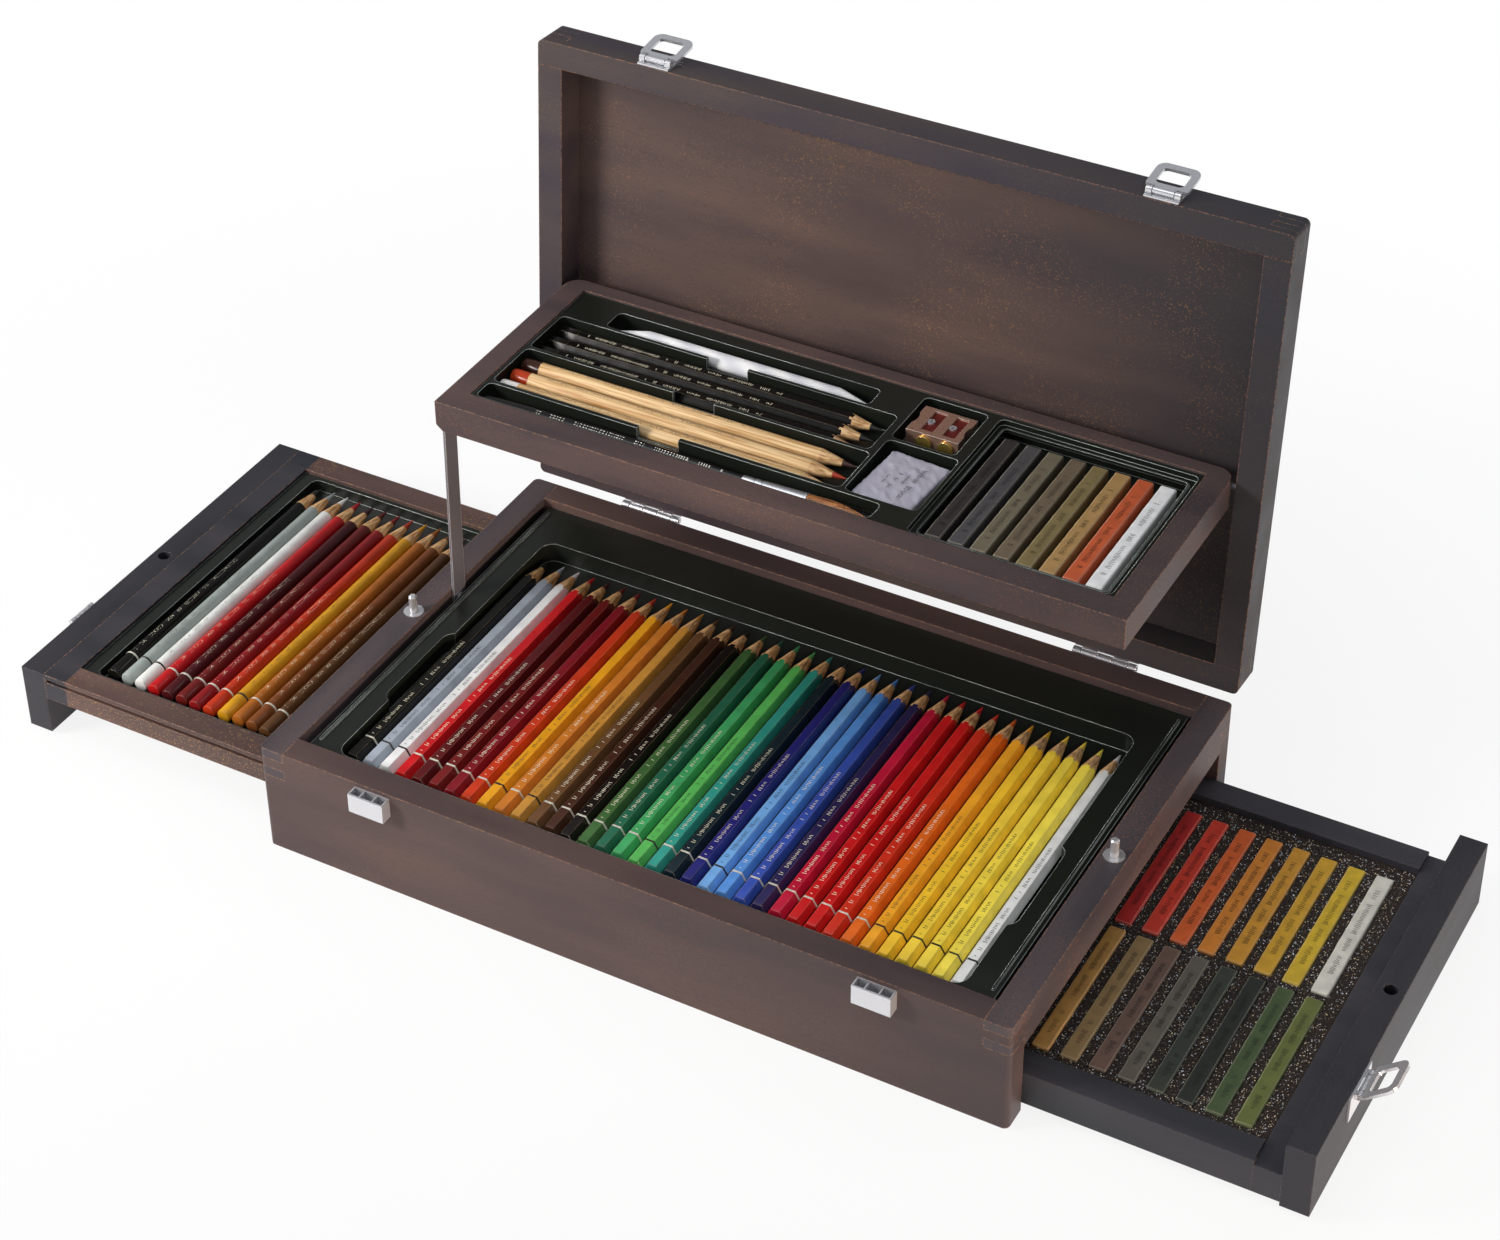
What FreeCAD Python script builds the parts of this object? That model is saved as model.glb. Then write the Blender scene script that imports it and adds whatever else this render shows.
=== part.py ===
import FreeCAD, Part
import math
import os

from FreeCAD import Vector

# Wooden artist's case: a shallow box with a hinged lid, a lift-up tray carried
# by a steel arm, two stacked side drawers and two pins that lock the drawers.
# Millimetres. Origin at the centre of the underside, +X right, +Y back, +Z up.
# The rest pose is the open one: lid back, tray raised, both drawers out.

# ---- case ----
CASE_W = 390.0
CASE_D = 246.0
CASE_H = 60.0
WALL = 13.5
RAIL_W = 13.3
RAIL_Z = 38.9
CORNER_R = 3.0
FINGERS = 4
BOARD_T = 3.6
DECK_T = 3.2
HW = CASE_W / 2
HD = CASE_D / 2
DECK_Z = RAIL_Z + 1.3

# ---- lid, modelled shut and then swung open about the hinge axis ----
LID_GAP = 0.3
LID_DEPTH = 19.4
LID_PANEL_T = 3.0
LID_MEMBER = 13.3
LID_OPEN_DEG = 94.3
LID_Z0 = CASE_H + LID_GAP
LID_Z1 = LID_Z0 + LID_DEPTH
HINGE_INSET = 67.8
HINGE_BACK = 2.9
HINGE_DROP = 0.9
HINGE_X = HW - HINGE_INSET
HINGE_Y = HD + HINGE_BACK
HINGE_Z = CASE_H - HINGE_DROP
HINGE_KNUCKLES = (4.4, 8.2, 8.2, 8.2, 4.4)
KNUCKLE_R = 2.2
KNUCKLE_GAP = 0.3
HINGE_PIN_R = 1.0
LEAF_T = 1.2
LEAF_TALL = 17.1
LEAF_GAP = 2.0
LEAF_WEB = 2.5
SCREW_ROW = 11.2
SCREW_PITCH = 11.0
SCREW_R = 1.1
SCREW_LONG = 9.2
RUN_CLEARANCE = 0.06

# ---- lift-up tray and its arm ----
TRAY_SIDE_GAP = 2.5
TRAY_DEEP = 126.5
TRAY_OVERHANG = 19.5
TRAY_FRONT_GAP = 11.2
TRAY_H = 16.2
TRAY_FRONT_T = 13.3
TRAY_SIDE_T = 11.6
TRAY_BACK_T = 8.0
TRAY_BACK_R = 8.0
ARM_LEAN_DEG = 1.3
ARM_SWING_DEG = 87.0
ARM_W = 10.0
ARM_T = 1.2
ARM_PIN_R = 2.0
ARM_ROOM = 3.4
ARM_PIVOT_IN = 13.0
PIVOT_RISE = 3.7
GUIDE_PIN_R = 1.6
GUIDE_SLOT_HALF = 2.0
TRAY_HALF_W = HW - LID_MEMBER - TRAY_SIDE_GAP
TRAY_Y1 = HD + TRAY_OVERHANG
TRAY_Y0 = TRAY_Y1 - TRAY_DEEP
TRAY_TRAVEL = TRAY_Y0 - TRAY_FRONT_GAP + HD - WALL
LEAN = math.radians(ARM_LEAN_DEG)
ARM_LENGTH = TRAY_TRAVEL / (math.sin(LEAN) + math.sin(math.radians(ARM_SWING_DEG) - LEAN))
ARM_X = -TRAY_HALF_W - 2.0
ARM_FOOT = (TRAY_Y0 + ARM_PIVOT_IN - ARM_LENGTH * math.sin(LEAN), CASE_H - 7.0)
TRAY_Z0 = ARM_FOOT[1] + ARM_LENGTH * math.cos(LEAN) - PIVOT_RISE
TRAY_TOP = TRAY_Z0 + TRAY_H
TRAY_FLOOR = TRAY_Z0 + 5.0
GUIDE_PIN = (TRAY_Y1 - 3.5, TRAY_Z0 + 10.2)

# ---- drawers: the left one runs above the right one ----
DRAWER_GAP = 0.4
DRAWER_HALF_D = HD - WALL - DRAWER_GAP
PANEL_T = 13.4
PANEL_Z0 = 2.2
PANEL_Z1 = RAIL_Z - 0.3
LEFT_OUT = 156.2
LEFT_LENGTH = 260.0
LEFT_Z0 = 23.6
LEFT_FLOOR = LEFT_Z0 + 6.6
RIGHT_OUT = 132.7
RIGHT_LENGTH = 209.7
RIGHT_Z0 = 4.4
RIGHT_Z1 = LEFT_Z0 - 1.1
RIGHT_END_Z1 = RIGHT_Z1 - 2.3
FOAM_TOP = RIGHT_Z1 - 3.5
CHALK_TOP = RIGHT_Z1 - 2.5
DRAWER_WALL = 13.0
INNER_END_T = 6.0
DRAWER_BOARD_T = 2.6
GROOVE_Z = (PANEL_Z1 - 4.8, PANEL_Z1 - 2.6)
GROOVE_DEEP = 3.3

# ---- latches on the lid's front edge, and the like pulls on the drawers ----
LATCH_X = HW - 64.0
LATCH_Z = LID_Z0 + 3.7
LATCH_PROUD = 2.8
LATCH_PIN_R = 0.8
LATCH_REACH = 20.5
LATCH_TILT = 10.0
PULL_Y = -58.5
PULL_Z = PANEL_Z1 - 2.8
LEFT_PULL_TILT = 172.0
RIGHT_PULL_TILT = 50.0

# ---- locking pins in the side rails ----
LOCK_X = HW - RAIL_W / 2
LOCK_Y = -2.0
LOCK_R = 2.1
LOCK_TOP = CASE_H + 9.7
LOCK_TIP = RAIL_Z + 2.0
LOCK_HOLE_R = 2.45
FLANGE_BORE_R = 2.2
FLANGE_R = 5.1

# ---- pencils and chalks ----
INSERT_HALF_W = HW - RAIL_W - ARM_ROOM
INSERT_HALF_D = HD - WALL - 0.2
INSERT_TOP = CASE_H - 4.5
MAIN_WELL_FLOOR = DECK_Z + DECK_T + 1.3
MAIN_COUNT = 36
MAIN_X0 = 36.1 - HW
MAIN_PITCH = (HW - 36.8 - MAIN_X0) / (MAIN_COUNT - 1)
MAIN_GAP = 0.4
HEX_FLAT = (MAIN_PITCH - MAIN_GAP) * math.cos(math.pi / 6)
MAIN_Y = (22.5 - HD, HD - 47.0)
LEFT_FIRST_COUNT = 13
LEFT_SECOND_COUNT = 8
ROUND_X0 = 40.4 - HW - LEFT_OUT
ROUND_X1 = 12.1 - LOCK_X
ROUND_PITCH = min((-21.5 - LOCK_X - ROUND_X0) / (LEFT_FIRST_COUNT - 1),
                  (LEFT_LENGTH - LEFT_OUT - HW - 26.2 - ROUND_X1) / (LEFT_SECOND_COUNT - 1))
ROUND_GAP = 0.6
ROUND_R = (ROUND_PITCH - ROUND_GAP) / 2
ROUND_Y = (18.7 - DRAWER_HALF_D, DRAWER_HALF_D - 19.1)
CHALK = 8.6
CHALK_LONG = DRAWER_HALF_D - WALL - 9.6
CHALK_COLUMNS = 12
CHALK_PITCH = (RIGHT_LENGTH - 60.1) / (CHALK_COLUMNS - 1)
CHALK_X0 = HW + RIGHT_OUT - 38.9
CHALK_ROWS = (CHALK_LONG / 2, -CHALK_LONG / 2 - 3.5)

X_AXIS = Vector(1, 0, 0)
Y_AXIS = Vector(0, 1, 0)
Z_AXIS = Vector(0, 0, 1)


def box(x0, x1, y0, y1, z0, z1):
    """Block between two corners."""
    return Part.makeBox(x1 - x0, y1 - y0, z1 - z0, Vector(x0, y0, z0))


def rod(radius, length, start, axis):
    """Cylinder from a start point along an axis."""
    return Part.makeCylinder(radius, length, Vector(*start), axis)


def pocketed(solid, cuts):
    """Solid with every cutter taken out of it."""
    for cutter in cuts:
        solid = solid.cut(cutter)
    return solid.removeSplitter()


def joined(solids):
    """Fuse a list of touching solids into one."""
    result = solids[0]
    for solid in solids[1:]:
        result = result.fuse(solid)
    return result.removeSplitter()


def rounded_plate(x0, x1, y0, y1, z0, z1, radius):
    """Block with its four upright edges rounded."""
    plate = box(x0, x1, y0, y1, z0, z1)
    upright = [e for e in plate.Edges if abs(e.tangentAt(e.FirstParameter).z) > 0.9]
    return plate.makeFillet(radius, upright)


def swing(shape, pivot_y, pivot_z, degrees):
    """Turned copy about a line along X."""
    turned = shape.copy()
    turned.rotate(Vector(0, pivot_y, pivot_z), X_AXIS, degrees)
    return turned


def opened(shape):
    """Lid piece taken from shut to open."""
    return swing(shape, HINGE_Y, HINGE_Z, -LID_OPEN_DEG)


def combed_ring(half_x, half_y, wall_x, wall_y, z0, z1, radius):
    """Front, back, left and right members of a frame whose corners are comb-jointed."""
    ring = rounded_plate(-half_x, half_x, -half_y, half_y, z0, z1, radius)
    in_x = half_x - wall_x
    in_y = half_y - wall_y
    ring = ring.cut(box(-in_x, in_x, -in_y, in_y, z0, z1))
    finger = (z1 - z0) / FINGERS
    members = []
    for along_x, side in ((True, -1), (True, 1), (False, -1), (False, 1)):
        y0, y1 = (-in_y, in_y) if not along_x else sorted((side * half_y, side * in_y))
        x0, x1 = (-in_x, in_x) if along_x else sorted((side * half_x, side * in_x))
        blocks = [box(x0, x1, y0, y1, z0, z1)]
        for k in range(0 if along_x else 1, FINGERS, 2):
            low = z0 + finger * k
            for end in (-1, 1):
                if along_x:
                    x0, x1 = sorted((end * half_x, end * in_x))
                else:
                    y0, y1 = sorted((end * half_y, end * in_y))
                blocks.append(box(x0, x1, y0, y1, low, low + finger))
        members.append(ring.common(joined(blocks)))
    return members


def skin_insert(x0, x1, y0, y1, top, wells, floor, skin=1.0, radius=4.0):
    """Formed sheet: a flat flange with sunken wells, open at the top."""
    solids = [box(x0, x1, y0, y1, top - skin, top)]
    cavities = []
    for wx0, wx1, wy0, wy1 in wells:
        solids.append(rounded_plate(wx0 - skin, wx1 + skin, wy0 - skin, wy1 + skin,
                                    floor - skin, top, radius + skin))
        cavities.append(rounded_plate(wx0, wx1, wy0, wy1, floor, top + 1, radius))
    return pocketed(joined(solids), cavities)


def flat_sided(sections, sides, start_angle, centre_x, centre_z):
    """Bar along Y with flat sides, from (y, radius) pairs; its rings are alike, so every side is plane."""
    rings = []
    for y, radius in sections:
        ring = []
        for k in range(sides):
            a = start_angle + 2 * math.pi * k / sides
            ring.append(Vector(centre_x + radius * math.cos(a), y, centre_z + radius * math.sin(a)))
        rings.append(ring)
    faces = [Part.Face(Part.makePolygon(ring + ring[:1])) for ring in (rings[0], rings[-1])]
    for near, far in zip(rings, rings[1:]):
        for k in range(sides):
            n = (k + 1) % sides
            faces.append(Part.Face(Part.makePolygon([near[k], near[n], far[n], far[k], near[k]])))
    solid = Part.makeSolid(Part.makeShell(faces))
    if solid.Volume < 0:
        solid.reverse()
    return solid


def hex_pencil(x, y0, y1, z_floor, across=HEX_FLAT):
    """Six-sided pencil lying along Y on one of its flats, with its point at y1."""
    corner = across / math.sqrt(3)
    sections = [(y0, corner), (y1 - 19.0, corner), (y1 - 5.5, corner * 0.4), (y1, corner * 0.12)]
    return flat_sided(sections, 6, 0.0, x, z_floor + across / 2)


def turned_along(profile, origin, axis):
    """Solid of revolution from (distance, radius) pairs along an axis."""
    points = [Vector(0, 0, profile[0][0])]
    points += [Vector(r, 0, d) for d, r in profile]
    points.append(Vector(0, 0, profile[-1][0]))
    face = Part.Face(Part.makePolygon(points + points[:1]))
    solid = face.revolve(Vector(0, 0, 0), Z_AXIS, 360)
    turn = FreeCAD.Rotation(Z_AXIS, axis)
    solid.Placement = FreeCAD.Placement(Vector(*origin), turn)
    return solid


def round_pencil(x, y0, y1, z_floor):
    """Round pencil lying along Y, its barrel kept to twelve narrow sides because there are so many."""
    rest = ROUND_R * math.cos(math.pi / 12)
    sections = [(y0, ROUND_R), (y1 - 20.0, ROUND_R), (y1 - 5.0, 1.5), (y1, 0.5)]
    return flat_sided(sections, 12, math.pi / 12, x, z_floor + rest)


def lid_closing_path(point, steps):
    """Tray point seen from the lid as both close, as (along, deep) offsets from the hinge axis."""
    path = []
    for i in range(steps + 1):
        part = i / steps
        lid = math.radians(LID_OPEN_DEG * (1 - part))
        arm = math.radians(ARM_SWING_DEG * part)
        dy = ARM_LENGTH * (math.sin(LEAN - arm) - math.sin(LEAN))
        dz = ARM_LENGTH * (math.cos(LEAN - arm) - math.cos(LEAN))
        y = point[0] + dy - HINGE_Y
        z = point[1] + dz - HINGE_Z
        along = y * math.cos(lid) - z * math.sin(lid)
        deep = y * math.sin(lid) + z * math.cos(lid)
        path.append((along, deep))
    return path


def guide_slot(x0, x1):
    """Curved slot in the shut lid's side member that the tray's rear pin rides in."""
    path = lid_closing_path(GUIDE_PIN, 6)
    points = [Vector(x0, HINGE_Y + along, HINGE_Z + deep) for along, deep in path]
    outline = Part.makePolygon(points).makeOffset2D(GUIDE_SLOT_HALF)
    return Part.Face(outline).extrude(Vector(x1 - x0, 0, 0))


def case_woodwork():
    """Four comb-jointed sides with the drawer openings beneath the side rails, and two boards."""
    front, back, left, right = combed_ring(HW, HD, RAIL_W, WALL, RAIL_Z, CASE_H, CORNER_R)
    lower = rounded_plate(-HW, HW, -HD, HD, 0, RAIL_Z, CORNER_R)
    front = joined([front, lower.common(box(-HW, HW, -HD, WALL - HD, 0, RAIL_Z))])
    back = joined([back, lower.common(box(-HW, HW, HD - WALL, HD, 0, RAIL_Z))])
    rails = []
    for side, rail in ((-1, left), (1, right)):
        shaft = rod(LOCK_HOLE_R, CASE_H - RAIL_Z + 2, (side * LOCK_X, LOCK_Y, RAIL_Z - 1), Z_AXIS)
        seat = rod(FLANGE_R, 1.0, (side * LOCK_X, LOCK_Y, CASE_H - 1.0), Z_AXIS)
        rails.append(pocketed(rail, [shaft, seat]))
    inner_x = HW - RAIL_W
    inner_y = HD - WALL
    bottom = box(0.3 - inner_x, inner_x - 0.3, -inner_y, inner_y, 0, BOARD_T)
    deck = box(-inner_x, inner_x, -inner_y, inner_y, DECK_Z, DECK_Z + DECK_T)
    return front, back, rails, [bottom, deck]


def drawer_runners():
    """Thin strips on the front and back walls that the upper drawer hangs on."""
    strips = []
    wall_y = HD - WALL
    for side in (-1, 1):
        y0, y1 = sorted((side * wall_y, side * (wall_y - GROOVE_DEEP + 0.1)))
        strips.append(box(2.2 + RAIL_W - HW, 66.0, y0, y1, GROOVE_Z[0] + 0.4, GROOVE_Z[1] - 0.4))
    return strips


def lock_pin(side):
    """Plain pin with a domed top that drops into the drawer panel."""
    length = LOCK_TOP - LOCK_TIP
    profile = [(0, LOCK_R - 0.6), (0.8, LOCK_R), (length - 0.8, LOCK_R), (length, LOCK_R - 0.7)]
    return turned_along(profile, (side * LOCK_X, LOCK_Y, LOCK_TIP), Z_AXIS)


def lock_flange(side):
    """Flat ring let into the rail around the pin."""
    ring = rod(FLANGE_R, 1.1, (side * LOCK_X, LOCK_Y, CASE_H - 1.0), Z_AXIS)
    return ring.cut(rod(FLANGE_BORE_R, 4, (side * LOCK_X, LOCK_Y, CASE_H - 2.0), Z_AXIS))


def catch_box(side):
    """Open-topped pressed box on the case front with two inner partitions."""
    x = side * LATCH_X
    z0 = CASE_H - 12.8
    shell = box(x - 9.6, x + 9.6, -HD - 6.2, -HD, z0, z0 + 10.6)
    bays = []
    for x0, x1 in ((-8.7, -3.9), (-3.1, 3.1), (3.9, 8.7)):
        bays.append(box(x + x0, x + x1, -HD - 5.3, -HD - 0.8, z0 + 1.0, CASE_H))
    return pocketed(shell, bays)


def hinge_stations(centre):
    """Start, end and index of every knuckle of one hinge."""
    x = centre - sum(HINGE_KNUCKLES) / 2
    stations = []
    for i, length in enumerate(HINGE_KNUCKLES):
        stations.append((i, x + KNUCKLE_GAP / 2, x + length - KNUCKLE_GAP / 2))
        x += length
    return stations


def hinge_leaf(centre, on_lid):
    """Flat leaf with its own rolled knuckles, drawn with the lid shut."""
    half = sum(HINGE_KNUCKLES) / 2
    up = 1 if on_lid else -1
    bore = HINGE_PIN_R + (RUN_CLEARANCE if on_lid else 0)
    z0, z1 = sorted((HINGE_Z + up * LEAF_GAP, HINGE_Z + up * (LEAF_GAP + LEAF_TALL)))
    web0, web1 = sorted((HINGE_Z, HINGE_Z + up * LEAF_WEB))
    solids = [box(centre - half, centre + half, HD, HD + LEAF_T, z0, z1)]
    for i, x0, x1 in hinge_stations(centre):
        if (i % 2 == 1) == on_lid:
            solids.append(rod(KNUCKLE_R, x1 - x0, (x0, HINGE_Y, HINGE_Z), X_AXIS))
            solids.append(box(x0, x1, HD, HD + LEAF_T, web0, web1))
    leaf = joined(solids)
    cuts = [rod(bore, 2 * half + 4, (centre - half - 2, HINGE_Y, HINGE_Z), X_AXIS)]
    for x, z in screw_points(centre, on_lid):
        cuts.append(rod(SCREW_R + RUN_CLEARANCE, LEAF_T + 2, (x, HD - 1, z), Y_AXIS))
    return pocketed(leaf, cuts)


def screw_points(centre, on_lid):
    """Screw centres of one hinge leaf."""
    z = HINGE_Z + SCREW_ROW if on_lid else HINGE_Z - SCREW_ROW
    return [(centre - SCREW_PITCH, z), (centre, z + 3.0), (centre + SCREW_PITCH, z)]


def hinge_screw(x, z):
    """Pan-headed wood screw, going forward through the leaf into the wood."""
    face = HD + LEAF_T
    head = rod(SCREW_R * 2, 0.7, (x, face, z), Y_AXIS)
    shank = rod(SCREW_R, SCREW_LONG, (x, face - SCREW_LONG, z), Y_AXIS)
    return joined([head, shank])


def screw_holes(on_lid):
    """Pilot holes for all the screws of the case or of the shut lid."""
    holes = []
    deep = SCREW_LONG - LEAF_T + 0.2
    for centre in (-HINGE_X, HINGE_X):
        for x, z in screw_points(centre, on_lid):
            holes.append(rod(SCREW_R + RUN_CLEARANCE, deep + 1, (x, HD - deep, z), Y_AXIS))
    return holes


def latch_base(half_width, z0, z1):
    """Face plate with two end knuckles and a through pin; the face is y = 0 and looks to -Y."""
    solids = [box(-half_width, half_width, -1.0, 0, z0, z1)]
    for x0, x1 in ((-8.5, -5.5), (5.5, 8.5)):
        solids.append(rod(1.6, x1 - x0, (x0, -LATCH_PROUD, 0), X_AXIS))
        solids.append(box(x0, x1, -LATCH_PROUD, 0, -1.6, 1.0))
    solids.append(rod(LATCH_PIN_R, 17.0, (-8.5, -LATCH_PROUD, 0), X_AXIS))
    return joined(solids)


def latch_ring(tilt):
    """Rounded frame that turns on the latch pin, leaning away from the face by the tilt."""
    plate = rounded_plate(-10.5, 10.5, 0, LATCH_REACH, -0.75, 0.75, 4.5)
    plate = plate.cut(rounded_plate(-6.9, 6.9, 5.0, LATCH_REACH - 3.8, -2, 2, 2.5))
    for x0, x1 in ((-11, -5.2), (5.2, 11)):
        plate = plate.cut(box(x0, x1, -1, 2.6, -2, 2))
    plate.rotate(Vector(0, 0, 0), X_AXIS, 90 + tilt)
    hub = rod(1.5, 10.4, (-5.2, 0, 0), X_AXIS)
    ring = pocketed(joined([plate, hub]), [rod(LATCH_PIN_R + RUN_CLEARANCE, 12, (-6, 0, 0), X_AXIS)])
    ring.translate(Vector(0, -LATCH_PROUD, 0))
    return ring


def lid_latch(shape, side):
    """Latch piece carried to its place on the open lid's front edge."""
    placed = shape.copy()
    placed.translate(Vector(side * LATCH_X, -HD, LATCH_Z))
    return opened(placed)


def drawer_pull(shape, side, out):
    """The same kind of piece turned onto a drawer's outer face."""
    placed = shape.copy()
    placed.rotate(Vector(0, 0, 0), Z_AXIS, side * 90)
    placed.translate(Vector(side * (HW + out), PULL_Y, PULL_Z))
    return placed


def steel_arm():
    """Flat bar with rounded ends and a hole at each end."""
    y, z = ARM_FOOT
    r = ARM_W / 2
    bar = box(ARM_X, ARM_X + ARM_T, y - r, y + r, z, z + ARM_LENGTH)
    ends = [rod(r, ARM_T, (ARM_X, y, z + k), X_AXIS) for k in (0, ARM_LENGTH)]
    holes = [rod(ARM_PIN_R + RUN_CLEARANCE, 4, (ARM_X - 1, y, z + k), X_AXIS) for k in (0, ARM_LENGTH)]
    arm = pocketed(joined([bar] + ends), holes)
    return swing(arm, y, z, -ARM_LEAN_DEG)


def arm_foot_pin():
    """Headed pin in the left rail that the arm turns on."""
    y, z = ARM_FOOT
    shank = rod(ARM_PIN_R, 6.0, (ARM_X + ARM_T + 0.1 - 6.0, y, z), X_AXIS)
    head = rod(2.6, 0.9, (ARM_X + ARM_T + 0.1, y, z), X_AXIS)
    return joined([shank, head])


def tray_pins():
    """Arm pivot in the tray's left side and a guide pin near each back corner."""
    y = ARM_FOOT[0] + ARM_LENGTH * math.sin(LEAN)
    z = ARM_FOOT[1] + ARM_LENGTH * math.cos(LEAN)
    pins = [rod(ARM_PIN_R, 7.0, (ARM_X - 0.1, y, z), X_AXIS)]
    for x in (-TRAY_HALF_W - 5.0, TRAY_HALF_W - 4.0):
        pins.append(rod(GUIDE_PIN_R, 9.0, (x, GUIDE_PIN[0], GUIDE_PIN[1]), X_AXIS))
    return pins


def tray_frame():
    """Shallow frame, its back corners rounded and the front lower edge eased."""
    outer = box(-TRAY_HALF_W, TRAY_HALF_W, TRAY_Y0, TRAY_Y1, TRAY_Z0, TRAY_TOP)
    back = []
    eased = []
    for edge in outer.Edges:
        middle = edge.CenterOfMass
        if abs(middle.y - TRAY_Y1) < 0.1 and abs(middle.z - (TRAY_Z0 + TRAY_H / 2)) < 0.1:
            back.append(edge)
        if abs(middle.z - TRAY_Z0) < 0.1 and abs(middle.x) > TRAY_HALF_W - 0.1:
            eased.append(edge)
    outer = outer.makeFillet(TRAY_BACK_R, back)
    inner = box(TRAY_SIDE_T - TRAY_HALF_W, TRAY_HALF_W - TRAY_SIDE_T, TRAY_Y0 + TRAY_FRONT_T,
                TRAY_Y1 - TRAY_BACK_T, TRAY_Z0 - 1, TRAY_TOP + 1)
    frame = outer.cut(inner)
    ease = []
    for side in (-1, 1):
        corner = side * TRAY_HALF_W
        points = [Vector(corner, TRAY_Y0 - 1, TRAY_Z0), Vector(corner - side * 3.5, TRAY_Y0 - 1, TRAY_Z0),
                  Vector(corner, TRAY_Y0 - 1, TRAY_Z0 + 3.0)]
        wedge = Part.Face(Part.makePolygon(points + points[:1])).extrude(Vector(0, TRAY_DEEP + 2, 0))
        ease.append(wedge)
    pins = tray_pins()
    return pocketed(frame, ease[:1] + pins)


def tray_bottom():
    """Thin board closing the tray from below."""
    return box(TRAY_SIDE_T - TRAY_HALF_W, TRAY_HALF_W - TRAY_SIDE_T, TRAY_Y0 + TRAY_FRONT_T,
               TRAY_Y1 - TRAY_BACK_T, TRAY_Z0 + 0.4, TRAY_Z0 + 3.2)


# Wells of the tray insert: left and right edges from the named inner side of
# the tray, front and back edges from the inner face of its front member.
TRAY_LEFT = TRAY_SIDE_T - TRAY_HALF_W
TRAY_RIGHT = TRAY_HALF_W - TRAY_SIDE_T
TRAY_FRONT = TRAY_Y0 + TRAY_FRONT_T
TRAY_BACK = TRAY_Y1 - TRAY_BACK_T
STUMP_WELL = (TRAY_LEFT + 25.6, TRAY_RIGHT - 163.6, TRAY_FRONT + 83.2, TRAY_FRONT + 97.2)
BLACK_WELL = (TRAY_LEFT + 2.0, TRAY_RIGHT - 146.6, TRAY_FRONT + 50.3, TRAY_FRONT + 81.3)
NATURAL_WELL = (TRAY_LEFT + 2.0, TRAY_RIGHT - 144.4, TRAY_FRONT + 16.7, TRAY_FRONT + 48.3)
BRUSH_WELL = (TRAY_LEFT + 2.0, TRAY_RIGHT - 121.6, TRAY_FRONT + 1.7, TRAY_FRONT + 14.3)
SHARPENER_WELL = (TRAY_RIGHT - 142.4, TRAY_RIGHT - 109.0, TRAY_FRONT + 64.3, TRAY_FRONT + 102.2)
ERASER_WELL = (TRAY_RIGHT - 142.4, TRAY_RIGHT - 105.2, TRAY_FRONT + 16.7, TRAY_FRONT + 62.3)
CHALK_WELL = (TRAY_RIGHT - 103.0, TRAY_RIGHT - 2.0, TRAY_FRONT + 1.7, TRAY_FRONT + 102.5)
TRAY_WELLS = (STUMP_WELL, BLACK_WELL, NATURAL_WELL, BRUSH_WELL, SHARPENER_WELL, ERASER_WELL, CHALK_WELL)
LEDGE_IN = 3.0
NOTCH_X = (TRAY_LEFT + 84.1, TRAY_LEFT + 106.6)
TRAY_CHALK = 8.2
TRAY_CHALK_PITCH = 11.35
SHARPENER_LONG = 21.5
SHARPENER_W = 27.4
SHARPENER_H = 10.0
SHARPENER_X = (SHARPENER_WELL[0] + 12.7, SHARPENER_WELL[0] + 24.1)
SHARPENER_Y = SHARPENER_WELL[2] + 9.9
SHARPENER_Z = TRAY_FLOOR + 4.6


def tray_insert():
    """Black formed sheet: a well for each tool, a finger notch across the long ones, a ledge for chalks."""
    sheet_top = TRAY_TOP - 1.0
    insert = skin_insert(TRAY_LEFT + 0.2, TRAY_RIGHT - 0.2, TRAY_FRONT + 0.2, TRAY_BACK - 0.2,
                         sheet_top, TRAY_WELLS, TRAY_FLOOR - 0.1, 0.9, 3.0)
    notch = rounded_plate(NOTCH_X[0], NOTCH_X[1], BRUSH_WELL[2] + 6.0, STUMP_WELL[2] + 6.0,
                          TRAY_FLOOR + 3.4, sheet_top + 1, 5.0)
    x0, x1, y0, y1 = CHALK_WELL
    ledge = box(x0, x1, y0, y1, sheet_top - 4.0, sheet_top - 3.0)
    lip = [x0 + LEDGE_IN, x1 - LEDGE_IN, y0 + LEDGE_IN, y1 - LEDGE_IN]
    rim = rounded_plate(*lip, sheet_top - 4.0, sheet_top - 2.2, 3.0)
    hole = rounded_plate(lip[0] + 0.8, lip[1] - 0.8, lip[2] + 0.8, lip[3] - 0.8, TRAY_FLOOR, sheet_top, 2.2)
    return joined([insert.cut(notch), ledge.fuse(rim).cut(hole)])


def along_x(shape, x, y, z):
    """Copy of a piece drawn along Y from the origin, laid along X instead."""
    laid = shape.copy()
    laid.rotate(Vector(0, 0, 0), Z_AXIS, -90)
    laid.translate(Vector(x, y, z))
    return laid


def lying_pencils(x0, x1, rows, across=7.0):
    """Six-sided pencils lying along X with their points at x1."""
    pencil = hex_pencil(0, 0, x1 - x0, 0, across)
    return [along_x(pencil, x0, TRAY_FRONT + row, TRAY_FLOOR) for row in rows]


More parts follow.
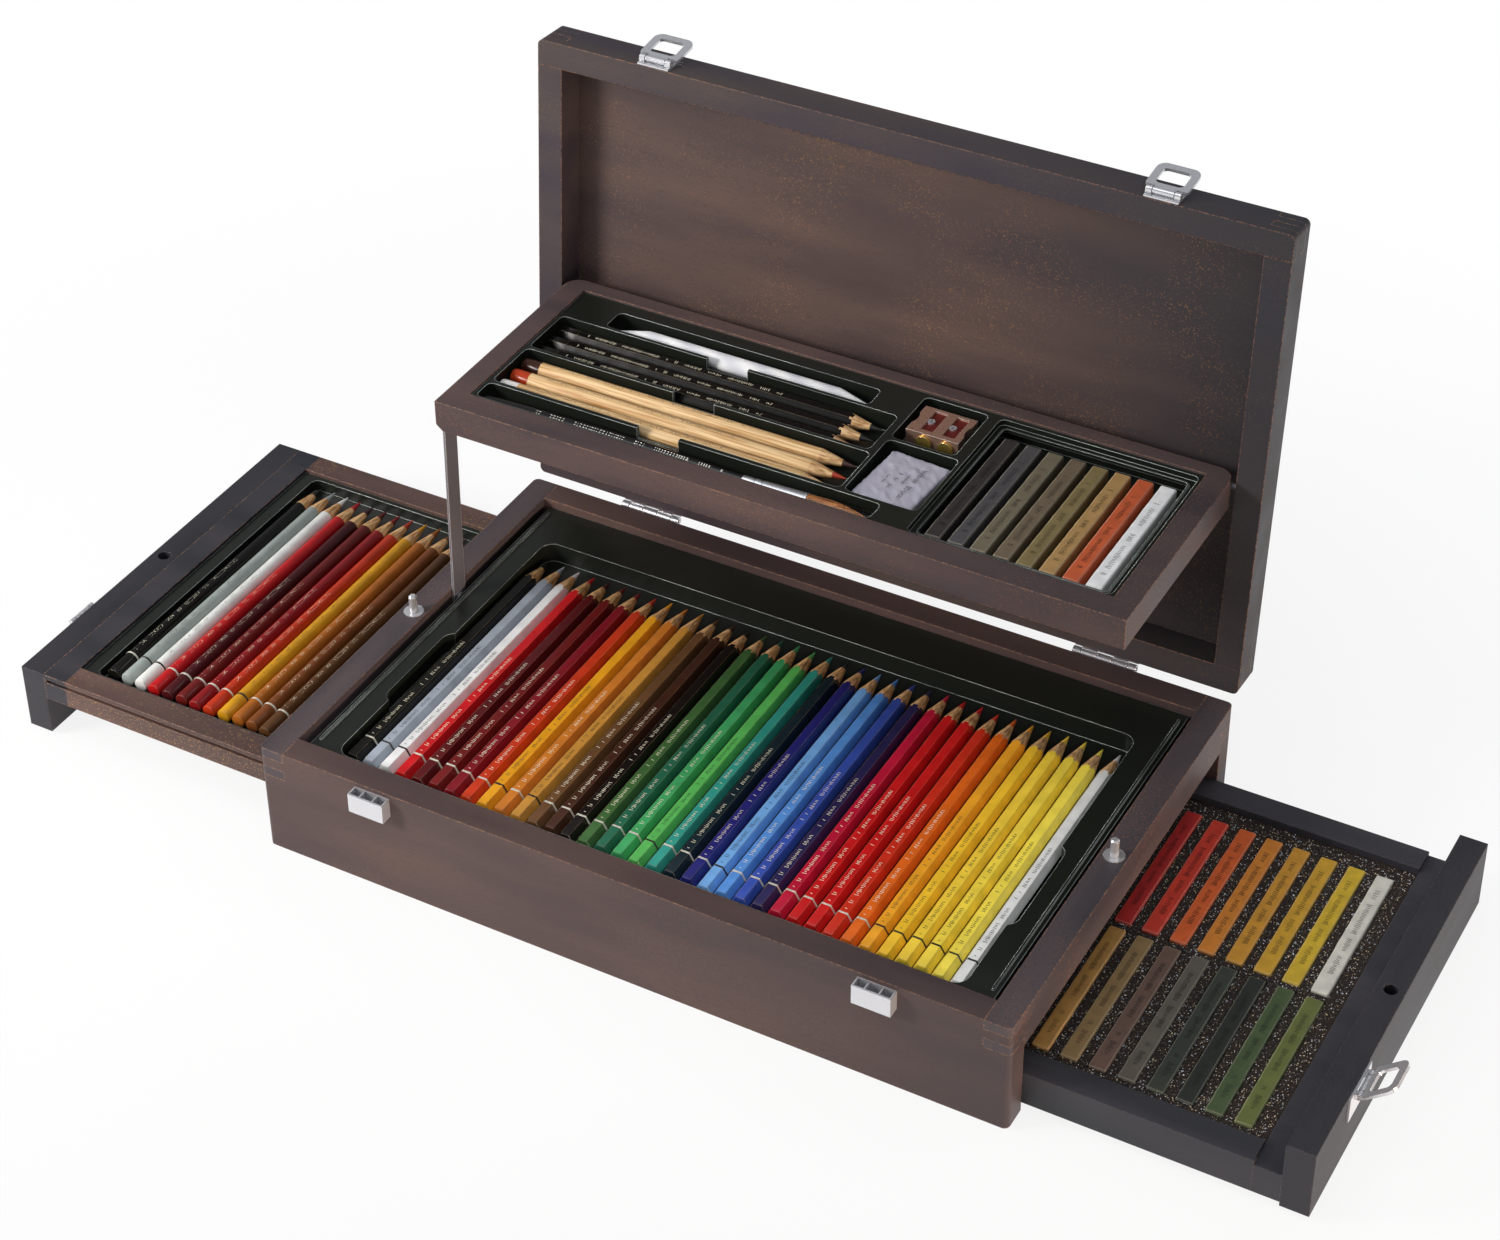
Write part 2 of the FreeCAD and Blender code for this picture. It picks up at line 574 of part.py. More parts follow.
def tray_tools():
    """Every loose tool in the tray, by node name."""
    tools = {}
    x0 = STUMP_WELL[0] + 4.4
    long = STUMP_WELL[1] - 3.6 - x0
    r = 4.6
    stump = flat_sided([(0, 0.8), (16, r), (long - 16, r), (long, 0.8)], 16, math.pi / 16, 0, 0)
    rest = TRAY_FLOOR + r * math.cos(math.pi / 16)
    tools["paper_stump"] = [along_x(stump, x0, STUMP_WELL[2] + 6.5, rest)]
    x0 = TRAY_LEFT + 3.6
    tools["black_pencils"] = lying_pencils(x0, BLACK_WELL[1] - 5.4, (75.7, 65.7, 55.7))
    x0 = TRAY_LEFT + 2.6
    tools["natural_pencils"] = lying_pencils(x0, NATURAL_WELL[1] - 5.2, (42.7, 32.3, 21.9))
    tools.update(brush(TRAY_LEFT + 3.0, BRUSH_WELL[1] - 2.6, TRAY_FRONT + 7.9, TRAY_FLOOR + 4.2))
    tools["sharpener"] = [sharpener_block()]
    tools["sharpener_collars"] = [sharpener_collar(x) for x in SHARPENER_X]
    tools["kneaded_eraser"] = [eraser_block()]
    sticks = []
    half = TRAY_CHALK / 2
    for i in range(8):
        x = CHALK_WELL[0] + 11.0 + TRAY_CHALK_PITCH * i
        sticks.append(box(x - half, x + half, CHALK_WELL[2] + 4.0, CHALK_WELL[2] + 90.0,
                          TRAY_FLOOR, TRAY_FLOOR + TRAY_CHALK))
    tools["tray_chalks"] = sticks
    return tools


def brush(x0, x1, y, z):
    """Paint brush in three pieces that meet end to end: swelling handle, ferrule and pointed hair."""
    ferrule_x = x1 - 66.0
    hair_x = x1 - 32.0
    long = ferrule_x - x0
    handle = [(0, 1.6), (4, 2.6), (long / 2, 4.0), (long, 2.6)]
    ferrule = [(0, 3.0), (10, 3.1), (34, 3.9)]
    hair = [(0, 3.6), (12, 4.1), (23, 3.0), (32, 0.5)]
    pieces = {}
    for name, start, sections in (("brush_handle", x0, handle), ("brush_ferrule", ferrule_x, ferrule),
                                  ("brush_bristles", hair_x, hair)):
        pieces[name] = [along_x(flat_sided(sections, 16, math.pi / 16, 0, 0), start, y, z)]
    return pieces


def sharpener_block():
    """Two-hole metal sharpener with waisted sides and blade beds on top."""
    y0, y1 = SHARPENER_Y, SHARPENER_Y + SHARPENER_LONG
    middle = (SHARPENER_WELL[0] + SHARPENER_WELL[1]) / 2 + 0.1
    top = TRAY_FLOOR + SHARPENER_H
    block = box(middle - SHARPENER_W / 2, middle + SHARPENER_W / 2, y0, y1, TRAY_FLOOR, top)
    cuts = []
    for x in SHARPENER_X:
        cuts.append(Part.makeCone(3.6, 0.8, 19.0, Vector(x, y0 - 0.1, SHARPENER_Z), Y_AXIS))
        cuts.append(box(x - 3.4, x + 3.0, y0 + 3.0, y1 - 2.0, top - 0.9, top + 1))
    for side in (-1, 1):
        waist_x = middle + side * (SHARPENER_W / 2 + 7.8)
        cuts.append(rod(9.0, SHARPENER_H + 2, (waist_x, (y0 + y1) / 2, TRAY_FLOOR - 1), Z_AXIS))
    return pocketed(block, cuts)


def sharpener_collar(x):
    """Slotted brass disc on the front of the sharpener."""
    y0 = SHARPENER_Y
    disc = rod(4.1, 1.2, (x, y0 - 1.2, SHARPENER_Z), Y_AXIS)
    slot = box(x - 5, x + 5, y0 - 2, y0 - 0.8, SHARPENER_Z - 0.35, SHARPENER_Z + 0.35)
    slot.rotate(Vector(x, y0, SHARPENER_Z), Y_AXIS, 62)
    return disc.cut(slot)


def eraser_block():
    """Wrapped slab with soft corners, laid slightly askew in its well."""
    slab = rounded_plate(-16.2, 16.2, -20.4, 20.4, TRAY_FLOOR, TRAY_FLOOR + 8.4, 3.0)
    slab.rotate(Vector(0, 0, 0), Z_AXIS, -4)
    slab.translate(Vector((ERASER_WELL[0] + ERASER_WELL[1]) / 2 + 0.2, ERASER_WELL[2] + 21.6, 0))
    return slab


def drawer_panel(side, out):
    """End board that fills the side opening, bored on top for the lock pin."""
    x0, x1 = sorted((side * (HW + out), side * (HW + out - PANEL_T)))
    board = box(x0, x1, -DRAWER_HALF_D, DRAWER_HALF_D, PANEL_Z0, PANEL_Z1)
    bore = rod(LOCK_HOLE_R + 0.9, 12, (side * (LOCK_X + out), LOCK_Y, PANEL_Z1 - 9.0), Z_AXIS)
    return board.cut(bore)


def left_drawer():
    """Upper drawer: grooved side walls, two end walls and a thin bottom."""
    outer = -(HW + LEFT_OUT)
    x0 = outer + PANEL_T
    x1 = outer + LEFT_LENGTH
    inner_y = DRAWER_HALF_D - DRAWER_WALL
    walls = []
    for side in (-1, 1):
        y0, y1 = sorted((side * inner_y, side * DRAWER_HALF_D))
        wall = box(x0, x1, y0, y1, LEFT_Z0, PANEL_Z1)
        g0, g1 = sorted((side * (DRAWER_HALF_D - GROOVE_DEEP), side * (DRAWER_HALF_D + 1)))
        walls.append(wall.cut(box(x0 + 1.5, x1 + 1, g0, g1, GROOVE_Z[0], GROOVE_Z[1])))
    walls.append(box(x0, x0 + DRAWER_WALL, -inner_y, inner_y, LEFT_Z0, PANEL_Z1))
    walls.append(box(x1 - INNER_END_T, x1, -inner_y, inner_y, LEFT_Z0, PANEL_Z1))
    x0 += DRAWER_WALL
    x1 -= INNER_END_T
    bottom = box(x0, x1, -inner_y, inner_y, LEFT_Z0 + 0.2, LEFT_FLOOR - 1.4)
    hole_x = -LOCK_X
    y0, y1 = 15.1 - DRAWER_HALF_D, DRAWER_HALF_D - 16.1
    wells = [(ROUND_X0 - 6.0, hole_x - 9.0, y0, y1), (hole_x + 7.4, x1 - 3.5, y0, y1)]
    insert = skin_insert(x0 + 0.3, x1 - 0.3, 0.3 - inner_y, inner_y - 0.3, PANEL_Z1 - 1.8, wells, LEFT_FLOOR)
    insert = insert.cut(rod(5.0, 14, (hole_x, LOCK_Y, LEFT_FLOOR - 2.2), Z_AXIS))
    return walls, bottom, insert


def drawer_pencil_x():
    """Barrel centres of the upper drawer, either side of the lock pin's place."""
    first = [ROUND_X0 + ROUND_PITCH * k for k in range(LEFT_FIRST_COUNT)]
    return first + [ROUND_X1 + ROUND_PITCH * k for k in range(LEFT_SECOND_COUNT)]


def right_drawer():
    """Lower drawer: plain side walls, lower end walls, thin bottom and a foam bed."""
    outer = HW + RIGHT_OUT
    x1 = outer - PANEL_T
    x0 = outer - RIGHT_LENGTH
    inner_y = DRAWER_HALF_D - WALL
    walls = []
    for side in (-1, 1):
        y0, y1 = sorted((side * inner_y, side * DRAWER_HALF_D))
        walls.append(box(x0, x1 - DRAWER_WALL, y0, y1, RIGHT_Z0, RIGHT_Z1))
    walls.append(box(x1 - DRAWER_WALL, x1, -DRAWER_HALF_D, DRAWER_HALF_D, RIGHT_Z0, RIGHT_END_Z1))
    walls.append(box(x0, x0 + INNER_END_T, -inner_y, inner_y, RIGHT_Z0, RIGHT_END_Z1))
    x0 += INNER_END_T
    x1 -= DRAWER_WALL
    bottom = box(x0, x1, -inner_y, inner_y, RIGHT_Z0 + 0.2, RIGHT_Z0 + 0.2 + DRAWER_BOARD_T)
    foam = box(x0 + 0.2, x1 - 0.2, 0.2 - inner_y, inner_y - 0.2, RIGHT_Z0 + 0.2 + DRAWER_BOARD_T, FOAM_TOP)
    beds = []
    half = CHALK / 2 + 0.3
    for row in CHALK_ROWS:
        for k in range(CHALK_COLUMNS):
            x = CHALK_X0 - CHALK_PITCH * k
            beds.append(box(x - half, x + half, row - CHALK_LONG / 2 - 0.4, row + CHALK_LONG / 2 + 0.4,
                            CHALK_TOP - CHALK, CHALK_TOP + 5))
    return walls, bottom, pocketed(foam, beds)


def chalk_row(row):
    """One row of square chalks in the foam."""
    chalks = []
    for k in range(CHALK_COLUMNS):
        x = CHALK_X0 - CHALK_PITCH * k
        chalks.append(box(x - CHALK / 2, x + CHALK / 2, row - CHALK_LONG / 2, row + CHALK_LONG / 2,
                          CHALK_TOP - CHALK, CHALK_TOP))
    return chalks


PENCIL_FAMILIES = {
    "pencils_neutral": (0, 1, 2, 35),
    "pencils_red": (3, 4, 5, 6, 7, 25, 26, 27, 28),
    "pencils_earth": (8, 9, 10, 11, 12, 13),
    "pencils_green": (14, 15, 16, 17),
    "pencils_blue": (18, 19, 20, 21, 22, 23, 24),
    "pencils_yellow": (29, 30, 31, 32, 33, 34),
}
DRAWER_FAMILIES = {
    "drawer_pencils_neutral": (0, 1, 2),
    "drawer_pencils_red": (3, 4, 5, 6, 7),
    "drawer_pencils_earth": (8, 9, 10, 11, 12),
    "drawer_pencils_cool": tuple(range(13, 21)),
}


def main_insert():
    """Black formed sheet in the top of the case: one wide well with a finger bay each side."""
    x0 = MAIN_X0 - 5.0
    x1 = MAIN_X0 + MAIN_PITCH * (MAIN_COUNT - 1) + 5.0
    y0, y1 = 18.0 - HD, HD - 39.5
    wells = [(x0, x1, y0, y1), (x0 - 3.6, x0 + 20, -62.0, -2.0), (x1 - 20, x1 + 3.6, -62.0, -2.0)]
    insert = skin_insert(-INSERT_HALF_W, INSERT_HALF_W, -INSERT_HALF_D, INSERT_HALF_D, INSERT_TOP, wells,
                         MAIN_WELL_FLOOR, 1.1, 7.0)
    beads = []
    for side in (-1, 1):
        x = side * (INSERT_HALF_W - 2.8)
        beads.append(rounded_plate(x - 0.6, x + 0.6, 22.0 - HD, HD - 19.0,
                                   INSERT_TOP - 0.5, INSERT_TOP + 0.9, 0.5))
    return joined([insert] + beads)


def build():
    """All nodes of the case."""
    nodes = {}
    front, back, rails, boards = case_woodwork()
    nodes["case_front_wall"] = [front]
    nodes["case_back_wall"] = [pocketed(back, screw_holes(False))]
    foot = arm_foot_pin()
    nodes["case_left_rail"] = [rails[0].cut(foot)]
    nodes["case_right_rail"] = [rails[1]]
    nodes["case_boards"] = boards
    nodes["drawer_runners"] = drawer_runners()
    nodes["main_insert"] = [main_insert()]
    for name, members in PENCIL_FAMILIES.items():
        nodes[name] = [hex_pencil(MAIN_X0 + MAIN_PITCH * k, MAIN_Y[0], MAIN_Y[1], MAIN_WELL_FLOOR)
                       for k in members]
    nodes["catch_boxes"] = [catch_box(-1), catch_box(1)]
    nodes["lock_flanges"] = [lock_flange(-1), lock_flange(1)]
    nodes["lock_pin_left"] = [lock_pin(-1)]
    nodes["lock_pin_right"] = [lock_pin(1)]
    nodes["arm_foot_pin"] = [foot]
    leaves = []
    lid_leaves = []
    for centre in (-HINGE_X, HINGE_X):
        leaves.append(hinge_leaf(centre, False))
        half = sum(HINGE_KNUCKLES) / 2
        leaves.append(rod(HINGE_PIN_R, 2 * half + 0.6, (centre - half - 0.3, HINGE_Y, HINGE_Z), X_AXIS))
        lid_leaves.append(opened(hinge_leaf(centre, True)))
    nodes["hinge_case_leaves"] = leaves
    nodes["hinge_lid_leaves"] = lid_leaves
    case_screws = []
    lid_screws = []
    for centre in (-HINGE_X, HINGE_X):
        case_screws += [hinge_screw(x, z) for x, z in screw_points(centre, False)]
        lid_screws += [opened(hinge_screw(x, z)) for x, z in screw_points(centre, True)]
    nodes["hinge_screws_case"] = case_screws
    nodes["hinge_screws_lid"] = lid_screws

    members = combed_ring(HW, HD, LID_MEMBER, LID_MEMBER, LID_Z0, LID_Z1, CORNER_R)
    inner_x = HW - LID_MEMBER
    inner_y = HD - LID_MEMBER
    members[1] = pocketed(members[1], screw_holes(True))
    members[2] = pocketed(members[2], [guide_slot(-inner_x - 3.4, -inner_x + 1)])
    members[3] = pocketed(members[3], [guide_slot(inner_x - 1, inner_x + 3.4)])
    nodes["lid_frame"] = [opened(m) for m in members]
    nodes["lid_panel"] = [opened(box(-inner_x, inner_x, -inner_y, inner_y, LID_Z1 - LID_PANEL_T, LID_Z1))]
    base = latch_base(8.5, -3.3, 6.5)
    ring = latch_ring(LATCH_TILT)
    nodes["latch_bases"] = [lid_latch(base, -1), lid_latch(base, 1)]
    nodes["latch_ring_left"] = [lid_latch(ring, -1)]
    nodes["latch_ring_right"] = [lid_latch(ring, 1)]

    nodes["tray_arm"] = [steel_arm()]
    nodes["tray_frame"] = [tray_frame()]
    nodes["tray_bottom"] = [tray_bottom()]
    nodes["tray_insert"] = [tray_insert()]
    nodes["tray_pins"] = tray_pins()
    nodes.update(tray_tools())

    nodes["left_drawer_panel"] = [drawer_panel(-1, LEFT_OUT)]
    walls, bottom, insert = left_drawer()
    nodes["left_drawer_walls"] = walls
    nodes["left_drawer_bottom"] = [bottom]
    nodes["left_drawer_insert"] = [insert]
    barrels = drawer_pencil_x()
    for name, members in DRAWER_FAMILIES.items():
        nodes[name] = [round_pencil(barrels[k], ROUND_Y[0], ROUND_Y[1], LEFT_FLOOR) for k in members]
    nodes["right_drawer_panel"] = [drawer_panel(1, RIGHT_OUT)]
    walls, bottom, foam = right_drawer()
    nodes["right_drawer_walls"] = walls
    nodes["right_drawer_bottom"] = [bottom]
    nodes["right_drawer_foam"] = [foam]
    nodes["chalks_back_row"] = chalk_row(CHALK_ROWS[0])
    nodes["chalks_front_row"] = chalk_row(CHALK_ROWS[1])
    base = latch_base(13.0, -12.0, 1.8)
    pulls = (("left", -1, LEFT_OUT, LEFT_PULL_TILT), ("right", 1, RIGHT_OUT, RIGHT_PULL_TILT))
    for name, side, out, tilt in pulls:
        nodes[name + "_pull_base"] = [drawer_pull(base, side, out)]
        nodes[name + "_pull_ring"] = [drawer_pull(latch_ring(tilt), side, out)]
    return nodes


os.makedirs("parts", exist_ok=True)
for node, solids in build().items():
    shape = solids[0] if len(solids) == 1 else Part.makeCompound(solids)
    shape.exportStep("parts/" + node + ".step")
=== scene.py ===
# %% [markdown]
# # Pencil drawer box: the looks
#
# A stained beech artist's case stands open. Its lid leans back, a shallow tray of tools is held up by a
# steel arm, and two drawers are pulled out, the left one higher than the right one. The construction is
# already there as a frame of plain solids. This lesson gives every solid a material, swaps the plain
# pencils, chalks and tools for finished ones that ride on the same bodies, and sets the camera and light.
#
# Everything is in metres, in the frame's own axes. Sizes in millimetres are multiplied by MM.

# %% Load the frame
import math
import random

import bmesh
import bpy
import numpy as np
from mathutils import Matrix, Vector

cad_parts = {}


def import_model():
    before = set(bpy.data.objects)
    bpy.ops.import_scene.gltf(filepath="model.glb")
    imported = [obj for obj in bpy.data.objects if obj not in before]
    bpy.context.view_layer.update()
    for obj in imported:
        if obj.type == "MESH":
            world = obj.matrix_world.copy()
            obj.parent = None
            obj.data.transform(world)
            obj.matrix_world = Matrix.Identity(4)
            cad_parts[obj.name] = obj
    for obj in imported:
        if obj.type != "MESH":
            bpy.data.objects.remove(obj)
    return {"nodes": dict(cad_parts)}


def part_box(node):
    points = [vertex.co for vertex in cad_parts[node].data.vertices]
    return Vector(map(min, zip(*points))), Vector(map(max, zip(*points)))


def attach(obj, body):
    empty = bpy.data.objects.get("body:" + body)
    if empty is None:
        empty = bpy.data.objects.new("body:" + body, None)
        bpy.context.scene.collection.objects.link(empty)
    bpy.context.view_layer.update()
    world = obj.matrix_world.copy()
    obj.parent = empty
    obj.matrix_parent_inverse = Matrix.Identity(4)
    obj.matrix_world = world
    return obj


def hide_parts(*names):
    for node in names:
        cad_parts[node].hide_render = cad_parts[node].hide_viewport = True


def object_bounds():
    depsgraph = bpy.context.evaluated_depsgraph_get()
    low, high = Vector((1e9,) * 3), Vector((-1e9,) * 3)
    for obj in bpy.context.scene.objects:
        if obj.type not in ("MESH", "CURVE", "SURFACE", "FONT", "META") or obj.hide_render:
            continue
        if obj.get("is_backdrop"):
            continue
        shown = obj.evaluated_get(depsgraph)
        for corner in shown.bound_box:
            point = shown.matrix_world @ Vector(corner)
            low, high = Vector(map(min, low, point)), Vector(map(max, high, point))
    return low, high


MM = 0.001
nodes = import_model()["nodes"]
box_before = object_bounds()
scene = bpy.context.scene
print(len(nodes), "solids, box", [round(v, 4) for corner in box_before for v in corner])

# %% [markdown]
# ## Camera
#
# The case is seen from in front, from the right and from above, with a long lens so that its edges stay
# nearly parallel. A small lens shift lifts the optical centre above the middle, which keeps the upright
# edges nearer to upright than turning the camera further down would.

# %% Set the camera
FRAME_W, FRAME_H = 1500, 1240
FOCAL = 3313.5
CENTRE_X, CENTRE_Y = 750.0, 440.0
SENSOR = 36.0

lens = bpy.data.cameras.new("camera")
lens.sensor_width = SENSOR
lens.lens = SENSOR * FOCAL / FRAME_W
lens.shift_x = (FRAME_W / 2 - CENTRE_X) / FRAME_W
lens.shift_y = (CENTRE_Y - FRAME_H / 2) / FRAME_W
lens.clip_start, lens.clip_end = 0.05, 60.0
camera = bpy.data.objects.new("camera", lens)
camera.location = (0.59126, -1.05122, 1.06509)
camera.rotation_euler = [math.radians(a) for a in (55.1047, 0.4921, 28.9244)]
scene.collection.objects.link(camera)
scene.camera = camera
print("lens", round(lens.lens, 2), "mm")

# %% [markdown]
# ## One helper for all node trees
#
# Shaders and Geometry Nodes are graphs, and every graph is built by the same moves: make a node, set what
# it is, and feed its inputs with a value, a socket or another node. One small function does that. Colours
# are written as they look on screen, and a second function turns them into the linear light values that
# the renderer works in.


# %% Node and colour helpers
def add(tree, kind, feeds=None, **settings):
    """Add a node; feeds gives an input, by name or number, a value, a socket or another node."""
    made = tree.nodes.new(kind)
    for key, value in settings.items():
        setattr(made, key, value)
    for key, value in (feeds or {}).items():
        socket = made.inputs[key] if isinstance(key, int) else next(
            s for s in made.inputs if s.name == key and s.enabled)
        if isinstance(value, bpy.types.Node):
            value = next(s for s in value.outputs if s.enabled)
        if isinstance(value, bpy.types.NodeSocket):
            tree.links.new(value, socket)
        else:
            socket.default_value = value
    return made


def lin(code):
    """'#RRGGBB' as seen on screen, to linear red, green, blue and alpha."""
    out = []
    for i in (1, 3, 5):
        c = int(code[i:i + 2], 16) / 255
        out.append(c / 12.92 if c <= 0.04045 else ((c + 0.055) / 1.055) ** 2.4)
    return (*out, 1.0)


MAT = {}


def new_tree(name):
    """Material kept in MAT under its name; returns its empty node tree and the place on the object."""
    MAT[name] = bpy.data.materials.new(name)
    MAT[name].use_nodes = True
    tree = MAT[name].node_tree
    tree.nodes.clear()
    return tree, add(tree, "ShaderNodeTexCoord").outputs["Object"]


print("mid grey is", round(lin("#808080")[0], 3), "in light")

# %% [markdown]
# ## Patterns that many materials share
#
# Three patterns come back in many materials. A rubbed edge, or an edge with a painted highlight, needs no
# extra geometry: the Bevel node bends the normal near an edge, and where the bent normal leaves the true one
# there is an edge. A two-tone ground is a noise spread over two colours. A tinted ground scales the colour
# that the mesh carries. Each is a function that adds its nodes and hands back what the next step needs.


# %% Edge, two tones and tint
def edge_mask(tree, radius_mm, starts, full, share=1.0, samples=4):
    """Rounded normal, and a mask that rises to share as that normal leaves the true one."""
    soft = add(tree, "ShaderNodeBevel", {"Radius": radius_mm * MM}, samples=samples)
    true = add(tree, "ShaderNodeNewGeometry").outputs["Normal"]
    same = add(tree, "ShaderNodeVectorMath", {0: soft, 1: true}, operation="DOT_PRODUCT").outputs["Value"]
    return soft, add(tree, "ShaderNodeMapRange", {"Value": same, "From Min": starts, "From Max": full,
                                                  "To Max": share})


def two_tone(tree, place, scale, detail, span, dark, light, noise_type="FBM"):
    """Noise, the mask made of its span, and the colour that goes from dark to light with the mask."""
    noise = add(tree, "ShaderNodeTexNoise", {"Vector": place, "Scale": scale, "Detail": detail},
                noise_type=noise_type)
    mask = add(tree, "ShaderNodeMapRange", {"Value": noise, "From Min": span[0], "From Max": span[1]})
    return noise, mask, add(tree, "ShaderNodeMix", {"Factor": mask, "A": lin(dark), "B": lin(light)},
                            data_type="RGBA")


def tinted(tree, place, scale, detail, span, shades):
    """Noise, and the mesh's own tint scaled from one shade to another over the noise's span."""
    tint = add(tree, "ShaderNodeAttribute", attribute_name="tint").outputs["Color"]
    noise = add(tree, "ShaderNodeTexNoise", {"Vector": place, "Scale": scale, "Detail": detail})
    shade = add(tree, "ShaderNodeMapRange", {"Value": noise, "From Min": span[0], "From Max": span[1],
                                             "To Min": shades[0], "To Max": shades[1]})
    return noise, add(tree, "ShaderNodeVectorMath", {0: tint, "Scale": shade}, operation="SCALE")


print("three patterns")

# %% [markdown]
# ## Light
#
# A large soft key lamp stands low at the front left. It makes the fronts the lightest faces, leaves the
# tops darker and the right-hand sides nearly dark, and throws the lid rim's soft shadow on to the board
# behind it. A grid in front of it narrows its beam, so its light also falls off towards the right. A
# weaker lamp overhead fills the wells. A narrow strip at the back right draws thin lines along the glossy
# rims, from a side where the flat tops don't mirror it. A weak warm bounce at the low right gives the
# right-hand faces their tan. The world is a dim even sky, so black lacquer has something dark to mirror.

# %% Place the lamps and the sky
scene.view_settings.view_transform = "Standard"
LAMPS = (
    # name, place, aimed at, width, height, watts, beam in degrees, tone
    ("key", (-1.15, -0.9, 0.75), (-0.27, 0.0, 0.12), 0.5, 0.45, 2.7, 58, (1.0, 0.96, 0.92)),
    ("overhead", (-0.2, -0.45, 1.7), (0.0, -0.05, 0.05), 1.4, 1.1, 8.5, 180, (0.96, 0.98, 1.0)),
    ("strip", (0.9, 0.75, 1.35), (0.0, 0.0, 0.1), 0.9, 0.15, 2.5, 180, (1.0, 1.0, 1.0)),
    ("bounce", (1.25, -0.3, 0.12), (0.32, -0.1, 0.02), 0.5, 0.2, 1.2, 50, (1.0, 0.78, 0.6)),
)
for name, place, target, width, height, watts, beam, tone in LAMPS:
    data = bpy.data.lights.new(name, "AREA")
    data.shape = "RECTANGLE"
    data.size, data.size_y = width, height
    data.energy = watts
    data.color = tone
    data.spread = math.radians(beam)
    lamp = bpy.data.objects.new(name, data)
    lamp.location = place
    lamp.rotation_euler = (Vector(target) - Vector(place)).to_track_quat("-Z", "Y").to_euler()
    scene.collection.objects.link(lamp)

world = bpy.data.worlds.new("dim_sky")
world.use_nodes = True
scene.world = world
sky = world.node_tree
sky.nodes.clear()
glow = add(sky, "ShaderNodeBackground", {"Color": (0.9, 0.94, 1.0, 1.0), "Strength": 0.3})
add(sky, "ShaderNodeOutputWorld", {"Surface": glow})
print(len(LAMPS), "lamps,", sum(lamp[5] for lamp in LAMPS), "W")

# %% [markdown]
# ## Floor
#
# The floor is a white paper sweep. Most of its white is given straight to the camera and to mirrors, so it
# stays clean far from the lamps, and the rest is lit paint, which keeps the case's soft shadow. The share
# of lit paint fades out half a metre from the case.

# %% Make the floor
paper, place = new_tree("white_sweep")
paths = add(paper, "ShaderNodeLightPath").outputs
seen = add(paper, "ShaderNodeMath", {0: paths["Is Camera Ray"], 1: paths["Is Glossy Ray"]},
           operation="MAXIMUM")
seen = add(paper, "ShaderNodeMath", {0: seen, 1: paths["Is Transmission Ray"]}, operation="MAXIMUM")
away = add(paper, "ShaderNodeVectorMath", {0: place}, operation="LENGTH").outputs["Value"]
share = add(paper, "ShaderNodeMapRange", {"Value": away, "From Min": 0.3, "From Max": 0.7, "To Min": 0.85})
share = add(paper, "ShaderNodeMath", {0: share, 1: seen}, operation="MULTIPLY")
lit = add(paper, "ShaderNodeBsdfDiffuse", {"Color": lin("#F4F4F4")})
given = add(paper, "ShaderNodeEmission", {"Color": (1, 1, 1, 1), "Strength": 1.0})
both = add(paper, "ShaderNodeMixShader", {0: share, 1: lit, 2: given})
add(paper, "ShaderNodeOutputMaterial", {"Surface": both})

bpy.ops.mesh.primitive_plane_add(size=30.0, location=(0, 0, -0.0003))
floor = bpy.context.object
floor.name = "floor"
floor.data.materials.append(MAT["white_sweep"])
floor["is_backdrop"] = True
print("floor", floor.dimensions.x, "m wide")
